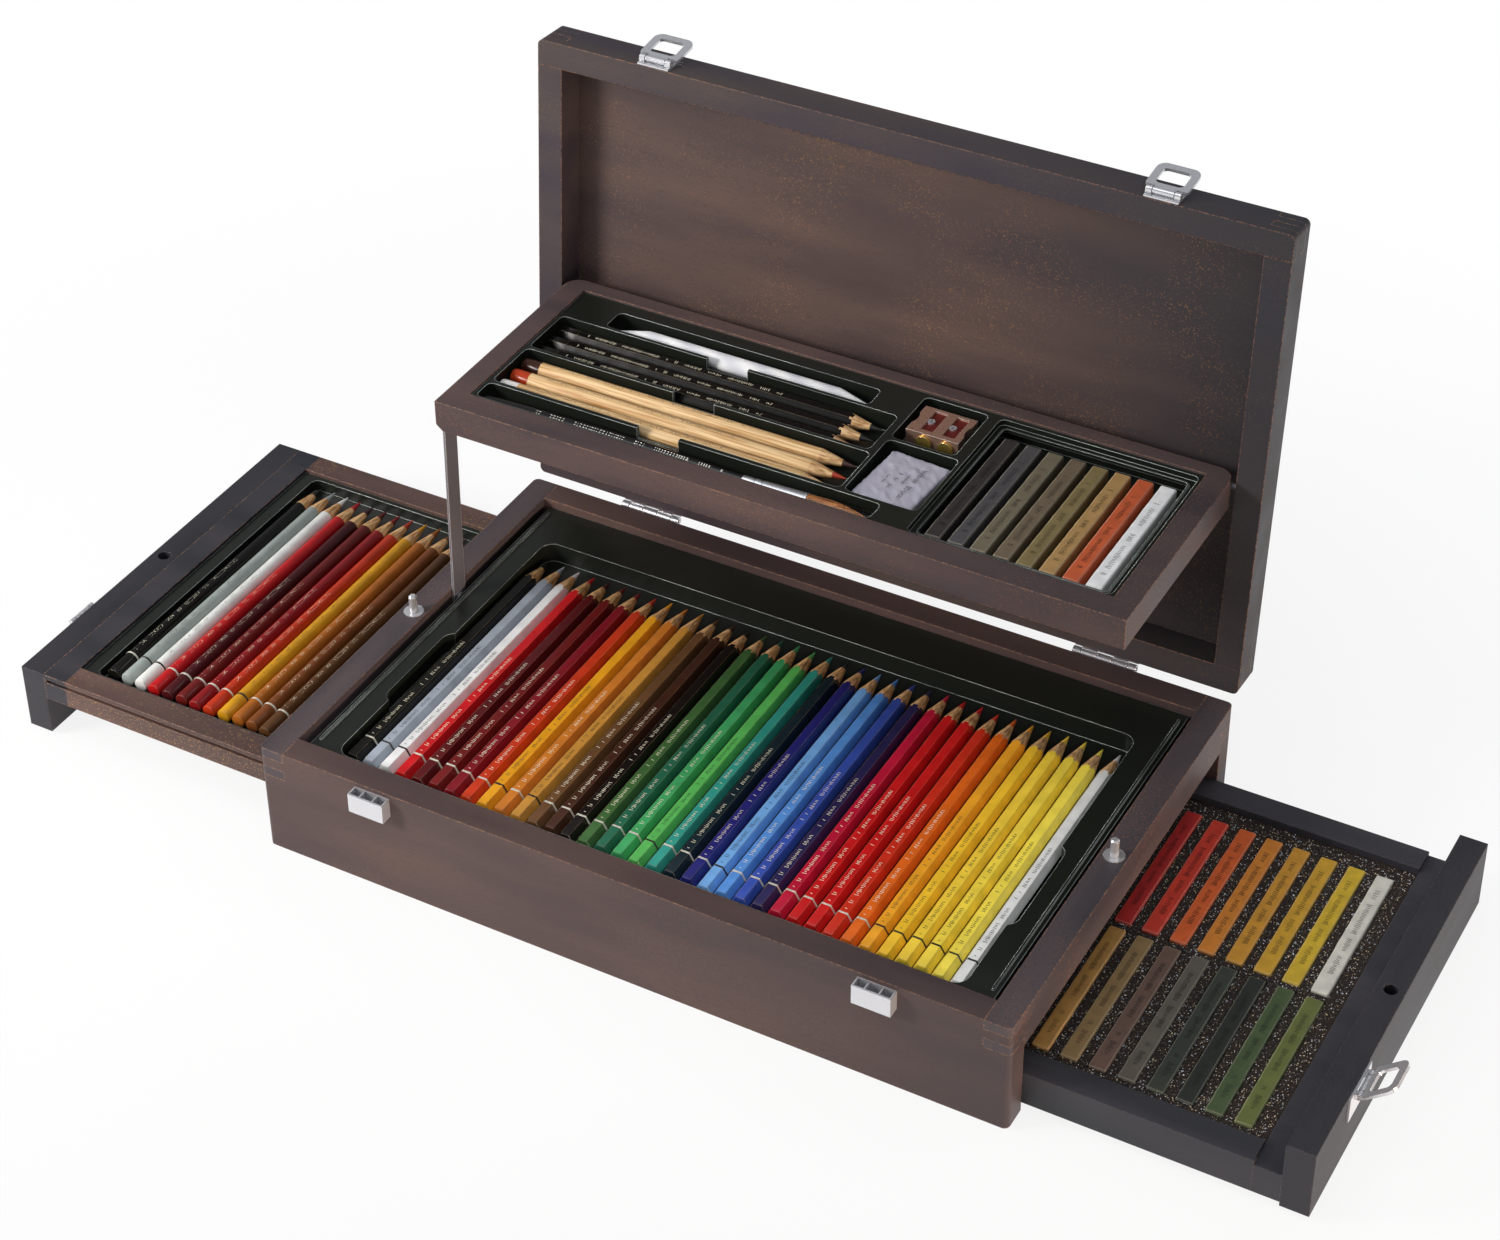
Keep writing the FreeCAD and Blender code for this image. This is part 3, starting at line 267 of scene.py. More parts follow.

# %% [markdown]
# ## Stained beech
#
# The case is solid beech, water-stained walnut and given one thin satin varnish, so the grain is felt more
# than seen. To the eye it is a brown-mauve ground with soft clouds where the stain took unevenly, faint
# short pores along the grain, a few golden flecks where bare wood shows through, and a thin dotted pale
# line on the edges where the stain is rubbed off. Over the right-hand half of the box the colour turns
# cooler and darker as painted shade, standing in for the key lamp's light falling off. One function
# builds it. Boards differ in grain direction, tone, how many flecks they show, and how much painted
# shade they take.


# %% Wood
def stained_beech(name, grain, deep, light, fleck="#A0703C", fleck_share=0.25, worn="#A87A5C", cool=0.4,
                  side_x=None, gold_z=None):
    """Satin stained beech, its grain along 'X' or 'Y'; slate left of side_x, golden below gold_z, cool is
    painted shade.
    """
    tree, place = new_tree(name)
    along = [1.0, 1.0, 1.0]
    along["XYZ".index(grain)] = 0.2
    along = add(tree, "ShaderNodeMapping", {"Vector": place, "Scale": along})

    # stain clouds, about 30 mm across and 150 mm along the grain
    _, clouds, colour = two_tone(tree, along, 33.0, 3.0, (0.34, 0.66), deep, light)

    # painted shade: the colour turns cooler and darker over the right-hand half of the box, standing in for
    # the key lamp's light falling off there
    parts = add(tree, "ShaderNodeSeparateXYZ", {0: place}).outputs
    far = add(tree, "ShaderNodeMapRange", {"Value": parts["X"], "From Min": 20 * MM, "From Max": 215 * MM,
                                           "To Max": cool})
    colour = add(tree, "ShaderNodeMix", {"Factor": far, "A": colour, "B": lin("#282B31")}, data_type="RGBA")

    # pores are 0.1 mm wide in beech; drawn 0.8 mm wide and 4 mm long, because finer ones don't show
    pores = add(tree, "ShaderNodeTexNoise", {"Vector": along, "Scale": 1250.0, "Detail": 1.0})
    dark = add(tree, "ShaderNodeMapRange", {"Value": pores, "From Min": 0.44, "From Max": 0.3,
                                            "To Max": 0.45})
    colour = add(tree, "ShaderNodeMix", {"Factor": dark, "A": colour, "B": lin(deep)}, data_type="RGBA")

    # golden flecks of 0.9 mm, gathered in patches of 50 mm
    flecks = add(tree, "ShaderNodeTexNoise", {"Vector": place, "Scale": 1100.0, "Detail": 1.0})
    flecks = add(tree, "ShaderNodeMapRange", {"Value": flecks, "From Min": 0.6, "From Max": 0.72})
    patch = add(tree, "ShaderNodeTexNoise", {"Vector": place, "Scale": 20.0, "Detail": 1.0})
    patch = add(tree, "ShaderNodeMapRange", {"Value": patch, "From Min": 0.4, "From Max": 0.65,
                                             "To Max": fleck_share})
    if gold_z is not None:
        low = add(tree, "ShaderNodeMath", {0: parts["Z"], 1: gold_z * MM}, operation="LESS_THAN")
        patch = add(tree, "ShaderNodeMath", {0: patch, 1: low}, operation="MAXIMUM")
    flecks = add(tree, "ShaderNodeMath", {0: flecks, 1: patch}, operation="MULTIPLY")
    colour = add(tree, "ShaderNodeMix", {"Factor": flecks, "A": colour, "B": lin(fleck)}, data_type="RGBA")
    if side_x is not None:
        slate = add(tree, "ShaderNodeMix", {"Factor": clouds, "A": lin("#28292F"), "B": lin("#3C393F")},
                    data_type="RGBA")
        left = add(tree, "ShaderNodeMath", {0: parts["X"], 1: side_x * MM}, operation="LESS_THAN")
        colour = add(tree, "ShaderNodeMix", {"Factor": left, "A": colour, "B": slate}, data_type="RGBA")

    # the rubbed edge: where the rounded normal leaves the true one, broken into dots of 1.1 mm
    soft, edge = edge_mask(tree, 0.8, 0.99, 0.9)
    dots = add(tree, "ShaderNodeTexNoise", {"Vector": place, "Scale": 900.0, "Detail": 1.0})
    dots = add(tree, "ShaderNodeMapRange", {"Value": dots, "From Min": 0.4, "From Max": 0.6})
    edge = add(tree, "ShaderNodeMath", {0: edge, 1: dots}, operation="MULTIPLY")
    colour = add(tree, "ShaderNodeMix", {"Factor": edge, "A": colour, "B": lin(worn)}, data_type="RGBA")

    gloss = add(tree, "ShaderNodeMapRange", {"Value": clouds, "To Min": 0.46, "To Max": 0.6})
    bumps = add(tree, "ShaderNodeBump", {"Height": pores, "Distance": 0.04 * MM, "Normal": soft})
    # the thin varnish over open pores mirrors a little less than a full coat, IOR 1.4
    skin = add(tree, "ShaderNodeBsdfPrincipled", {"Base Color": colour, "Roughness": gloss, "IOR": 1.4,
                                                  "Normal": bumps})
    add(tree, "ShaderNodeOutputMaterial", {"Surface": skin})


DARK_WORN = "#5E5458"
SIDE_MEMBER, GOLD_TOP = 13.3, 33.8
# cool, given by name or as the eighth value, is how strongly painted shade darkens a board's right-hand half
stained_beech("case_beech", "X", "#463839", "#5E4A45", fleck_share=0.15)
stained_beech("rail_beech", "Y", "#3C383D", "#584C4E", "#9A6440", 0.8, cool=0.1)
stained_beech("panel_beech", "Y", "#26272C", "#38353B", "#6A5650", 0.12, DARK_WORN, 0.2)
stained_beech("drawer_beech_dark", "X", "#2E2F34", "#434046", "#6A5650", 0.12, DARK_WORN, 0.1)
# the side member behind the panel is as dark as the panel, and the strip below the groove is rubbed until
# it looks golden
wall_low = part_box("left_drawer_walls")[0].x / MM
stained_beech("drawer_beech_brown", "X", "#4E3B38", "#6A524B", "#C09450", 0.5, side_x=wall_low + SIDE_MEMBER,
              gold_z=GOLD_TOP)
stained_beech("tray_beech", "X", "#42383B", "#5E4B48", "#A87848", 0.3)
stained_beech("lid_beech", "X", "#38313A", "#4E4340", fleck_share=0.15, cool=0.8)
stained_beech("lid_board", "X", "#463A3B", "#5E4B45", "#B08050", 0.4, cool=0.9)
print(len(MAT) - 1, "tones of beech")

# %% [markdown]
# ## Formed polystyrene
#
# The wells are drawn from a thin sheet of black polystyrene. It is smooth and glossy, a little green in
# the black, and each bend is a narrow rounded ridge that catches light as a thin pale line. The solids
# have sharp corners there, so the shader rounds the normal and paints that pale line into the colour of
# the same strip, a painted highlight that is stronger in some stretches than in others.

# %% Black plastic
BEND = 0.55
sheet, place = new_tree("formed_polystyrene")
soft, painted_ridge_highlight = edge_mask(sheet, BEND, 0.96, 0.8, samples=8)
stretch = add(sheet, "ShaderNodeTexNoise", {"Vector": place, "Scale": 25.0, "Detail": 1.0})
stretch = add(sheet, "ShaderNodeMapRange", {"Value": stretch, "From Min": 0.36, "From Max": 0.5,
                                            "To Min": 0.45, "To Max": 1.0})
painted_ridge_highlight = add(sheet, "ShaderNodeMath", {0: painted_ridge_highlight, 1: stretch}, operation="MULTIPLY")
# painted highlight: the bends' strip is lightened towards a near white
colour = add(sheet, "ShaderNodeMix", {"Factor": painted_ridge_highlight, "A": lin("#1C1F1A"), "B": lin("#E6F2EC")},
             data_type="RGBA")
waves = add(sheet, "ShaderNodeTexNoise", {"Vector": place, "Scale": 60.0, "Detail": 1.0})
waves = add(sheet, "ShaderNodeBump", {"Height": waves, "Distance": 0.3 * MM, "Normal": soft})
# calendered sheet is smooth, so a low roughness; polystyrene's own IOR is 1.59, and 1.45 keeps the lamps'
# reflections on the wide flat floor weaker
skin = add(sheet, "ShaderNodeBsdfPrincipled", {"Base Color": colour, "Roughness": 0.28, "IOR": 1.45,
                                               "Normal": waves})
add(sheet, "ShaderNodeOutputMaterial", {"Surface": skin})
print("bends rounded by", BEND, "mm")

# %% [markdown]
# ## Metals
#
# Several metals differ in tone, roughness and skin. The latches and pins are chromed steel, pressed and
# polished, so they mirror what is around them in hard light and dark. The hinges are only plated, and the
# arm is rolled steel, duller and darker. Each metal's edges carry a painted reflection: a strip of lighter
# colour, darker on the chrome, that stands in for what the rounded edge mirrors. The sharpener is a cast
# block with a coppery satin skin, its discs are turned brass, and the ferrule is rolled aluminium. Each
# has faint dents or turning marks in the normal. A metal keeps its default IOR.

# %% Metal skins
METALS = (
    # name, colour, roughness, mark size mm, mark depth mm, painted edge reflection colour, edge mm, metallic
    ("polished_chrome", "#DCDCE0", 0.16, 5.0, 0.02, "#2A2A30", 0.3, 0.65),
    ("plated_steel", "#C4C4CA", 0.35, 3.0, 0.02, "#F0F0F4", 0.3, 0.8),
    ("rolled_steel", "#7C7C84", 0.35, 1.5, 0.01, "#FFFFFF", 0.6, 0.4),
    ("cast_copper_skin", "#C49C88", 0.3, 1.2, 0.06, "#FFF8F0", 0.35, 0.7),
    ("red_anodised_pocket", "#7A2C28", 0.25, 2.0, 0.02, "#C86850", 0.3, 0.5),
    ("turned_brass", "#D0B45C", 0.25, 0.8, 0.02, "#F4ECB8", 0.3, 0.8),
    ("rolled_aluminium", "#D8D8DC", 0.24, 1.5, 0.01, "#FFFFFF", 0.3, 0.9),
)
for name, ground, roughness, mark_mm, mark_deep, rim, rim_mm, metallic in METALS:
    tree, place = new_tree(name)
    marks = add(tree, "ShaderNodeTexNoise", {"Vector": place, "Scale": 1000 / mark_mm, "Detail": 2.0})
    soft, edge = edge_mask(tree, rim_mm, 0.98, 0.85)
    # painted reflection: the strip along each edge takes the edge colour, standing in for what that rounded
    # edge mirrors
    colour = add(tree, "ShaderNodeMix", {"Factor": edge, "A": lin(ground), "B": lin(rim)}, data_type="RGBA")
    bumps = add(tree, "ShaderNodeBump", {"Height": marks, "Distance": mark_deep * MM, "Normal": soft})
    dull = add(tree, "ShaderNodeMapRange", {"Value": marks, "To Min": roughness * 0.7,
                                            "To Max": roughness * 1.3})
    skin = add(tree, "ShaderNodeBsdfPrincipled", {"Base Color": colour, "Metallic": metallic,
                                                  "Roughness": dull, "Normal": bumps})
    add(tree, "ShaderNodeOutputMaterial", {"Surface": skin})
print([row[0] for row in METALS])

# %% [markdown]
# ## Paint, lead, print and chalk
#
# Thirty-six pencils need thirty-six paints, but not thirty-six materials: the meshes carry a colour
# attribute named tint, and one lacquer reads it. Lacquer is dipped on and dries with long shallow waves,
# so its highlights wander; the thin pale lines on its edges are painted highlights. Lead is dull and
# slightly gritty. Foil print is stamped metal leaf. Pressed chalk is matt, cloudy and pale on its rubbed
# edges, and part of that pale is a painted highlight.

# %% Materials that read the tint
lacquer, place = new_tree("dipped_lacquer")
waves, colour = tinted(lacquer, place, 120.0, 1.0, (0.3, 0.7), (0.88, 1.06))
# painted highlight: the six edges take a thin pale tan line, standing in for the light they catch
soft, edge = edge_mask(lacquer, 0.22, 0.995, 0.95, share=0.4)
colour = add(lacquer, "ShaderNodeMix", {"Factor": edge, "A": colour, "B": lin("#C8B088")}, data_type="RGBA")
waves = add(lacquer, "ShaderNodeBump", {"Height": waves, "Distance": 0.12 * MM, "Normal": soft})
# nitro lacquer is smooth after several dips; its own IOR is 1.5, and 1.36 keeps the key lamp from drawing
# grey lines on the black barrels
skin = add(lacquer, "ShaderNodeBsdfPrincipled", {"Base Color": colour, "Roughness": 0.24, "IOR": 1.36,
                                                 "Normal": waves})
add(lacquer, "ShaderNodeOutputMaterial", {"Surface": skin})

# lead: graphite and colour cores are dull, with a grit below 1 mm
grit, place = new_tree("pencil_lead")
grains, colour = tinted(grit, place, 1500.0, 1.0, (0.0, 1.0), (0.7, 1.1))
bumps = add(grit, "ShaderNodeBump", {"Height": grains, "Distance": 0.03 * MM})
skin = add(grit, "ShaderNodeBsdfPrincipled", {"Base Color": colour, "Roughness": 0.55, "Normal": bumps})
add(grit, "ShaderNodeOutputMaterial", {"Surface": skin})

# foil misses small spots where the roller was dry, here 0.5 mm wide
foil, place = new_tree("stamped_foil")
_, colour = tinted(foil, place, 2000.0, 1.0, (0.3, 0.5), (0.5, 1.0))
skin = add(foil, "ShaderNodeBsdfPrincipled", {"Base Color": colour, "Metallic": 0.15, "Roughness": 0.4})
add(foil, "ShaderNodeOutputMaterial", {"Surface": skin})

# the press leaves clouds of 6 mm and a powder of about 1 mm
stick, place = new_tree("pressed_chalk")
_, colour = tinted(stick, place, 160.0, 2.0, (0.3, 0.7), (0.88, 1.08))
powder = add(stick, "ShaderNodeTexNoise", {"Vector": place, "Scale": 1000.0, "Detail": 1.0})
# the rounded edges are lightened: partly the pale of rubbed edges, partly a painted highlight for the light
# they catch
soft, edge = edge_mask(stick, 0.7, 0.985, 0.9, share=0.35)
colour = add(stick, "ShaderNodeMix", {"Factor": edge, "A": colour, "B": lin("#FFF4DC")}, data_type="RGBA")
bumps = add(stick, "ShaderNodeBump", {"Height": powder, "Distance": 0.05 * MM, "Normal": soft})
skin = add(stick, "ShaderNodeBsdfPrincipled", {"Base Color": colour, "Roughness": 0.7, "Normal": bumps})
add(stick, "ShaderNodeOutputMaterial", {"Surface": skin})
print("four tinted materials")

# %% [markdown]
# ## Bare wood, foam, film and hair
#
# Four looks are built alike: one noise, stretched along a grain or not, gives both the colour and the
# relief. Pencil wood is cedar or jelutong, straight, fine and pale. The knife cut of a cone shows short
# streaks along the pencil, and the clear-varnished drawing pencils show the same wood all along the
# barrel. The grain has to run along each pencil, so the pencils that lie along X have their own copy. The
# right drawer is lined with open foam, brown-black and dull. The eraser is wrapped in thin silvery film,
# whose sharp folds are the ridges of a ridged noise, and whose colour turns white on those ridges as a
# painted highlight. The brush has brown hair with long strands.

# %% Grounds of one noise
CEDAR_SPAN = (0.36, 0.62)
GROUNDS = (
    # name, stretched along, noise scale, detail, noise type, its span, dark, light, relief mm, roughness,
    # metallic
    # growth rings 1 mm apart, drawn out thirty times along the pencil
    ("cut_cedar_y", "Y", 1000.0, 2.0, "FBM", CEDAR_SPAN, "#9A6C3C", "#DDB480", 0.02, 0.6, 0.0),
    ("cut_cedar_x", "X", 1000.0, 2.0, "FBM", CEDAR_SPAN, "#A87A48", "#E4BE8C", 0.02, 0.6, 0.0),
    ("varnished_cedar", "X", 1000.0, 2.0, "FBM", CEDAR_SPAN, "#C09058", "#EBCB98", 0.02, 0.42, 0.0),
    # foam cells 0.8 mm across
    ("open_foam", None, 1200.0, 2.0, "FBM", (0.4, 0.62), "#0E0A0A", "#3C2E26", 0.1, 0.95, 0.0),
    # sharp crossing folds about 9 mm apart; their ridges turn white, a painted highlight
    ("folded_film", None, 110.0, 4.0, "RIDGED_MULTIFRACTAL", (0.2, 0.9), "#BEBBCA", "#FFFFFF", 1.4, 0.3,
     0.15),
    # hairs are 0.1 mm thick; drawn 0.5 mm thick, so that strands show
    ("brush_hair", "X", 2000.0, 1.0, "FBM", (0.36, 0.64), "#6A3A14", "#D88C48", 0.2, 0.45, 0.0),
)
for name, axis, scale, detail, kind, span, dark, light, relief, roughness, metallic in GROUNDS:
    tree, place = new_tree(name)
    if axis:
        drawn_out = [0.03 if axis == letter else 1.0 for letter in "XYZ"]
        place = add(tree, "ShaderNodeMapping", {"Vector": place, "Scale": drawn_out})
    noise, mask, colour = two_tone(tree, place, scale, detail, span, dark, light, kind)
    # a cut ring of cedar stands as high as its tone, and the others follow the plain noise
    height = mask if span is CEDAR_SPAN else noise
    bumps = add(tree, "ShaderNodeBump", {"Height": height, "Distance": relief * MM})
    skin = add(tree, "ShaderNodeBsdfPrincipled", {"Base Color": colour, "Roughness": roughness,
                                                  "Metallic": metallic, "Normal": bumps})
    add(tree, "ShaderNodeOutputMaterial", {"Surface": skin})
print([row[0] for row in GROUNDS])

# %% [markdown]
# ## Paper, varnish, flakes and sleeve
#
# The blending stump is rolled paper with faint windings, the brush's handle is black varnish, and a clear
# plastic sleeve guards its hair. The foam is sprinkled with flakes of mica.

# %% Small materials
roll, place = new_tree("rolled_paper")
# the paper is wound at a slant, one turn every 5 mm
turns = add(roll, "ShaderNodeTexWave", {"Vector": place, "Scale": 32.0, "Distortion": 1.0},
            bands_direction="DIAGONAL")
colour = add(roll, "ShaderNodeMix", {"Factor": turns, "A": lin("#D8D9E0"), "B": lin("#F4F4F4")},
             data_type="RGBA")
bumps = add(roll, "ShaderNodeBump", {"Height": turns, "Distance": 0.05 * MM})
skin = add(roll, "ShaderNodeBsdfPrincipled", {"Base Color": colour, "Roughness": 0.8, "Normal": bumps})
add(roll, "ShaderNodeOutputMaterial", {"Surface": skin})

varnish, place = new_tree("black_varnish")
drips = add(varnish, "ShaderNodeTexNoise", {"Vector": place, "Scale": 150.0, "Detail": 1.0})
colour = add(varnish, "ShaderNodeMix", {"Factor": drips, "A": lin("#0C0A0A"), "B": lin("#1E1A18")},
             data_type="RGBA")
skin = add(varnish, "ShaderNodeBsdfPrincipled", {"Base Color": colour, "Roughness": 0.2, "IOR": 1.5})
add(varnish, "ShaderNodeOutputMaterial", {"Surface": skin})

flake, place = new_tree("mica_flake")
_, _, colour = two_tone(flake, place, 300.0, 0.0, (0.4, 0.6), "#FFE8C0", "#F4F8FF")
# painted shade: the flakes' colour is darkened at random to as little as 0.12, standing in for flakes that
# would lie deep between the cells
dim = add(flake, "ShaderNodeTexNoise", {"Vector": place, "Scale": 900.0, "Detail": 0.0})
dim = add(flake, "ShaderNodeMapRange", {"Value": dim, "From Min": 0.42, "From Max": 0.58, "To Min": 0.12})
colour = add(flake, "ShaderNodeVectorMath", {0: colour, "Scale": dim}, operation="SCALE")
skin = add(flake, "ShaderNodeBsdfPrincipled", {"Base Color": colour, "Roughness": 0.3})
add(flake, "ShaderNodeOutputMaterial", {"Surface": skin})

# a wall 0.25 mm thick hardly bends light, so its IOR is kept well below the plastic's own 1.5
sleeve, place = new_tree("clear_sleeve")
scuffs = add(sleeve, "ShaderNodeTexNoise", {"Vector": place, "Scale": 300.0, "Detail": 1.0})
scuffs = add(sleeve, "ShaderNodeMapRange", {"Value": scuffs, "To Min": 0.03, "To Max": 0.14})
skin = add(sleeve, "ShaderNodeBsdfPrincipled", {"Base Color": (1, 1, 1, 1), "Roughness": scuffs, "IOR": 1.15,
                                                "Transmission Weight": 1.0})
add(sleeve, "ShaderNodeOutputMaterial", {"Surface": skin})
print(len(MAT), "materials in all")

# %% [markdown]
# ## Dressing the solids
#
# Rigid pieces that already have their real shape keep their mesh and only take a material. The sharpener
# takes two: its milled pockets lie just below its top face, and every face at or below that step and
# facing up is the red pocket.

# %% Give the solids their materials
DRESS = {
    "case_beech": ("case_front_wall", "case_back_wall", "case_boards"),
    "rail_beech": ("case_left_rail", "case_right_rail", "drawer_runners"),
    "panel_beech": ("left_drawer_panel", "right_drawer_panel"),
    "drawer_beech_dark": ("right_drawer_walls", "right_drawer_bottom", "left_drawer_bottom"),
    "drawer_beech_brown": ("left_drawer_walls",),
    "tray_beech": ("tray_frame", "tray_bottom"),
    "lid_beech": ("lid_frame",),
    "lid_board": ("lid_panel",),
    "formed_polystyrene": ("main_insert", "tray_insert", "left_drawer_insert"),
    "plated_steel": ("hinge_case_leaves", "hinge_lid_leaves", "hinge_screws_case", "hinge_screws_lid"),
    "polished_chrome": ("catch_boxes", "lock_flanges", "lock_pin_left", "lock_pin_right", "arm_foot_pin",
                        "latch_bases", "latch_ring_left", "latch_ring_right", "left_pull_base",
                        "left_pull_ring", "right_pull_base", "right_pull_ring"),
    "rolled_steel": ("tray_arm", "tray_pins"),
    "cast_copper_skin": ("sharpener",),
    "turned_brass": ("sharpener_collars",),
    "open_foam": ("right_drawer_foam",),
}
for key, names in DRESS.items():
    for name in names:
        mesh = nodes[name].data
        mesh.materials.clear()
        mesh.materials.append(MAT[key])
        mesh.polygons.foreach_set("material_index", [0] * len(mesh.polygons))

block = nodes["sharpener"].data
block.materials.append(MAT["red_anodised_pocket"])
step_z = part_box("sharpener")[1].z - 0.5 * MM
for face in block.polygons:
    if face.normal.z > 0.95 and face.center.z < step_z:
        face.material_index = 1
print(sum(len(names) for names in DRESS.values()), "solids dressed")

# %% [markdown]
# ## One pencil
#
# A coloured pencil is a six-sided or round barrel, dipped at the blunt end, with a thin ring, a line of
# foil print and a sharpened cone. The cone needs thought: a knife cut turns painted flats into scallops.
# If the mesh is a tube of rings, and each ring keeps the smaller of the barrel's outline and the cone's,
# the scallops come by themselves. Each face carries a zone number, so that one mesh can take six
# materials: paint, dipped end, ring, bare wood, lead, print.

# %% Pencil mesh
AROUND = 36
TIP = 0.3
PAINT, DIP, RING, WOOD, LEAD, PRINT = range(6)


def barrel(angle, across, sides):
    """Distance from the axis to the barrel's surface; sides 0 means round."""
    if not sides:
        return across / 2
    step = 2 * math.pi / sides
    return across / 2 / math.cos(angle % step - step / 2)


def zoned_object(name, verts, faces, zones):
    """Mesh object from millimetres, with a zone number on each face."""
    mesh = bpy.data.meshes.new(name)
    mesh.from_pydata([Vector(v) * MM for v in verts], [], faces)
    mesh.attributes.new("zone", "INT", "FACE").data.foreach_set("value", zones)
    mesh.polygons.foreach_set("use_smooth", [True] * len(faces))
    mesh.set_sharp_from_angle(angle=math.radians(28))
    made = bpy.data.objects.new(name, mesh)
    scene.collection.objects.link(made)
    return made


def print_piece(name, verts, faces, zones, code, material_key):
    """Strokes of one colour as a piece that rides on the tray."""
    made = zoned_object(name, verts, faces, zones)
    shades = made.data.color_attributes.new("tint", "FLOAT_COLOR", "CORNER")
    shades.data.foreach_set("color", lin(code) * len(shades.data))
    made.data.materials.append(MAT[material_key])
    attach(made, "tray")
    print(name, len(faces), "strokes")


def strokes(verts, faces, zones, span, top, tall, seed, flat=True):
    """Slanted strokes in groups along the top, like a line of print that says nothing."""
    dice = random.Random(seed)
    y = span[0]
    while y < span[1]:
        if dice.random() < 0.12:
            y += 3.4
            continue
        long, lean = dice.uniform(*tall), dice.uniform(-0.5, 0.5)
        start = len(verts)
        for sx, sy in ((-1, -1), (1, -1), (1, 1), (-1, 1)):
            x = sx * long / 2
            z = top if flat else math.sqrt(top * top - x * x)
            verts.append((x, y + sy * 0.17 + sx * lean / 2, z + 0.05))
        faces.append((start, start + 1, start + 2, start + 3))
        zones.append(PRINT)
        y += dice.uniform(0.8, 1.4)


def pencil(name, length, across, sides, dip, ring, cone, lead, print_span, seed):
    """One pencil along +Y from the origin, its axis on Y, in millimetres."""
    half = across / 2
    widest = half / math.cos(math.pi / sides) if sides else half
    slope = (widest - TIP) / cone
    # the blunt end is rounded by its dipping: three rings, then the barrel
    blunt = ((0.0, 0.72), (0.35, 0.9), (1.1, 1.0))
    stations = [y for y, _ in blunt] + [dip, dip + 0.05, dip + ring, dip + ring + 0.05]
    stations += [length - cone + cone * i / 24 for i in range(25)]
    verts = []
    for i, y in enumerate(stations):
        share = blunt[i][1] if i < 3 else 1.0
        proud = 0.1 if i in (4, 5) else 0.0
        for k in range(AROUND):
            a = 2 * math.pi * k / AROUND
            r = min(barrel(a, across, sides) * share + proud, TIP + (length - y) * slope)
            verts.append((r * math.cos(a), y, r * math.sin(a)))
    faces, zones = [], []
    for i in range(len(stations) - 1):
        middle = (stations[i] + stations[i + 1]) / 2
        cone_r = TIP + (length - middle) * slope
        for k in range(AROUND):
            n = (k + 1) % AROUND
            faces.append((i * AROUND + k, (i + 1) * AROUND + k, (i + 1) * AROUND + n, i * AROUND + n))
            if cone_r < barrel(2 * math.pi * (k + 0.5) / AROUND, across, sides):
                zones.append(LEAD if cone_r < lead else WOOD)
            else:
                zones.append(DIP if middle < dip else RING if middle < dip + ring else PAINT)
    last = (len(stations) - 1) * AROUND
    faces += [tuple(range(AROUND)), tuple(range(last + AROUND - 1, last - 1, -1))]
    zones += [DIP, LEAD]
    strokes(verts, faces, zones, print_span, half, (1.0, 2.2), seed, bool(sides))
    return zoned_object(name, verts, faces, zones)


# %% [markdown]
# ## One chalk
#
# A pressed chalk is a square stick whose edges are soft and slightly uneven, with a line of shallow
# stamped marks. The section has eight corners, two for each rubbed edge, and each station moves a little,
# so the outline is never ruler-straight.


# %% Chalk mesh
def chalk(name, length, across, seed):
    """One square stick along +Y, its underside on z = 0, in millimetres."""
    dice = random.Random(seed)
    soft, half, count = 0.55, across / 2, 26
    section = [(-half + soft, 0), (half - soft, 0), (half, soft), (half, across - soft),
               (half - soft, across), (-half + soft, across), (-half, across - soft), (-half, soft)]
    stations = [0] + [soft + (length - 2 * soft) * i / (count - 3) for i in range(count - 2)] + [length]
    verts = []
    for i, y in enumerate(stations):
        share = 0.88 if i in (0, count - 1) else 1.0
        for x, z in section:
            worn = dice.uniform(0.0, 0.14)
            high = half + (z - half) * share - (worn if z > half else 0)
            verts.append((x * share * (1 - worn / half), y, high))
    faces = [(i * 8 + k, (i + 1) * 8 + k, (i + 1) * 8 + (k + 1) % 8, i * 8 + (k + 1) % 8)
             for i in range(count - 1) for k in range(8)]
    last = (count - 1) * 8
    faces += [tuple(range(8)), tuple(range(last + 7, last - 1, -1))]
    zones = [PAINT] * len(faces)
    strokes(verts, faces, zones, (length * 0.12, length * 0.88), across, (1.6, 3.0), seed)
    return zoned_object(name, verts, faces, zones)


# %% [markdown]
# ## Rows, by Geometry Nodes
#
# A row of pencils is one pencil repeated. Copying objects in a loop would work, but the row could not then
# be changed as one thing. Here a tree with named inputs does it: a line of points, a small seeded wander
# so that no pencil lies exactly like the next, a copy of the piece on each point, and a stored number for
# each copy. The export can't hold instances, so the tree ends by making them real and by giving each zone
# its material.


# %% Row tree
def open_tree(name, **kinds):
    """Geometry Nodes tree with named inputs of these kinds; returns it and its input sockets."""
    tree = bpy.data.node_groups.new(name, "GeometryNodeTree")
    tree.is_modifier = True
    for label, kind in kinds.items():
        tree.interface.new_socket(label, in_out="INPUT", socket_type="NodeSocket" + kind)
    tree.interface.new_socket("Geometry", in_out="OUTPUT", socket_type="NodeSocketGeometry")
    return tree, add(tree, "NodeGroupInput").outputs


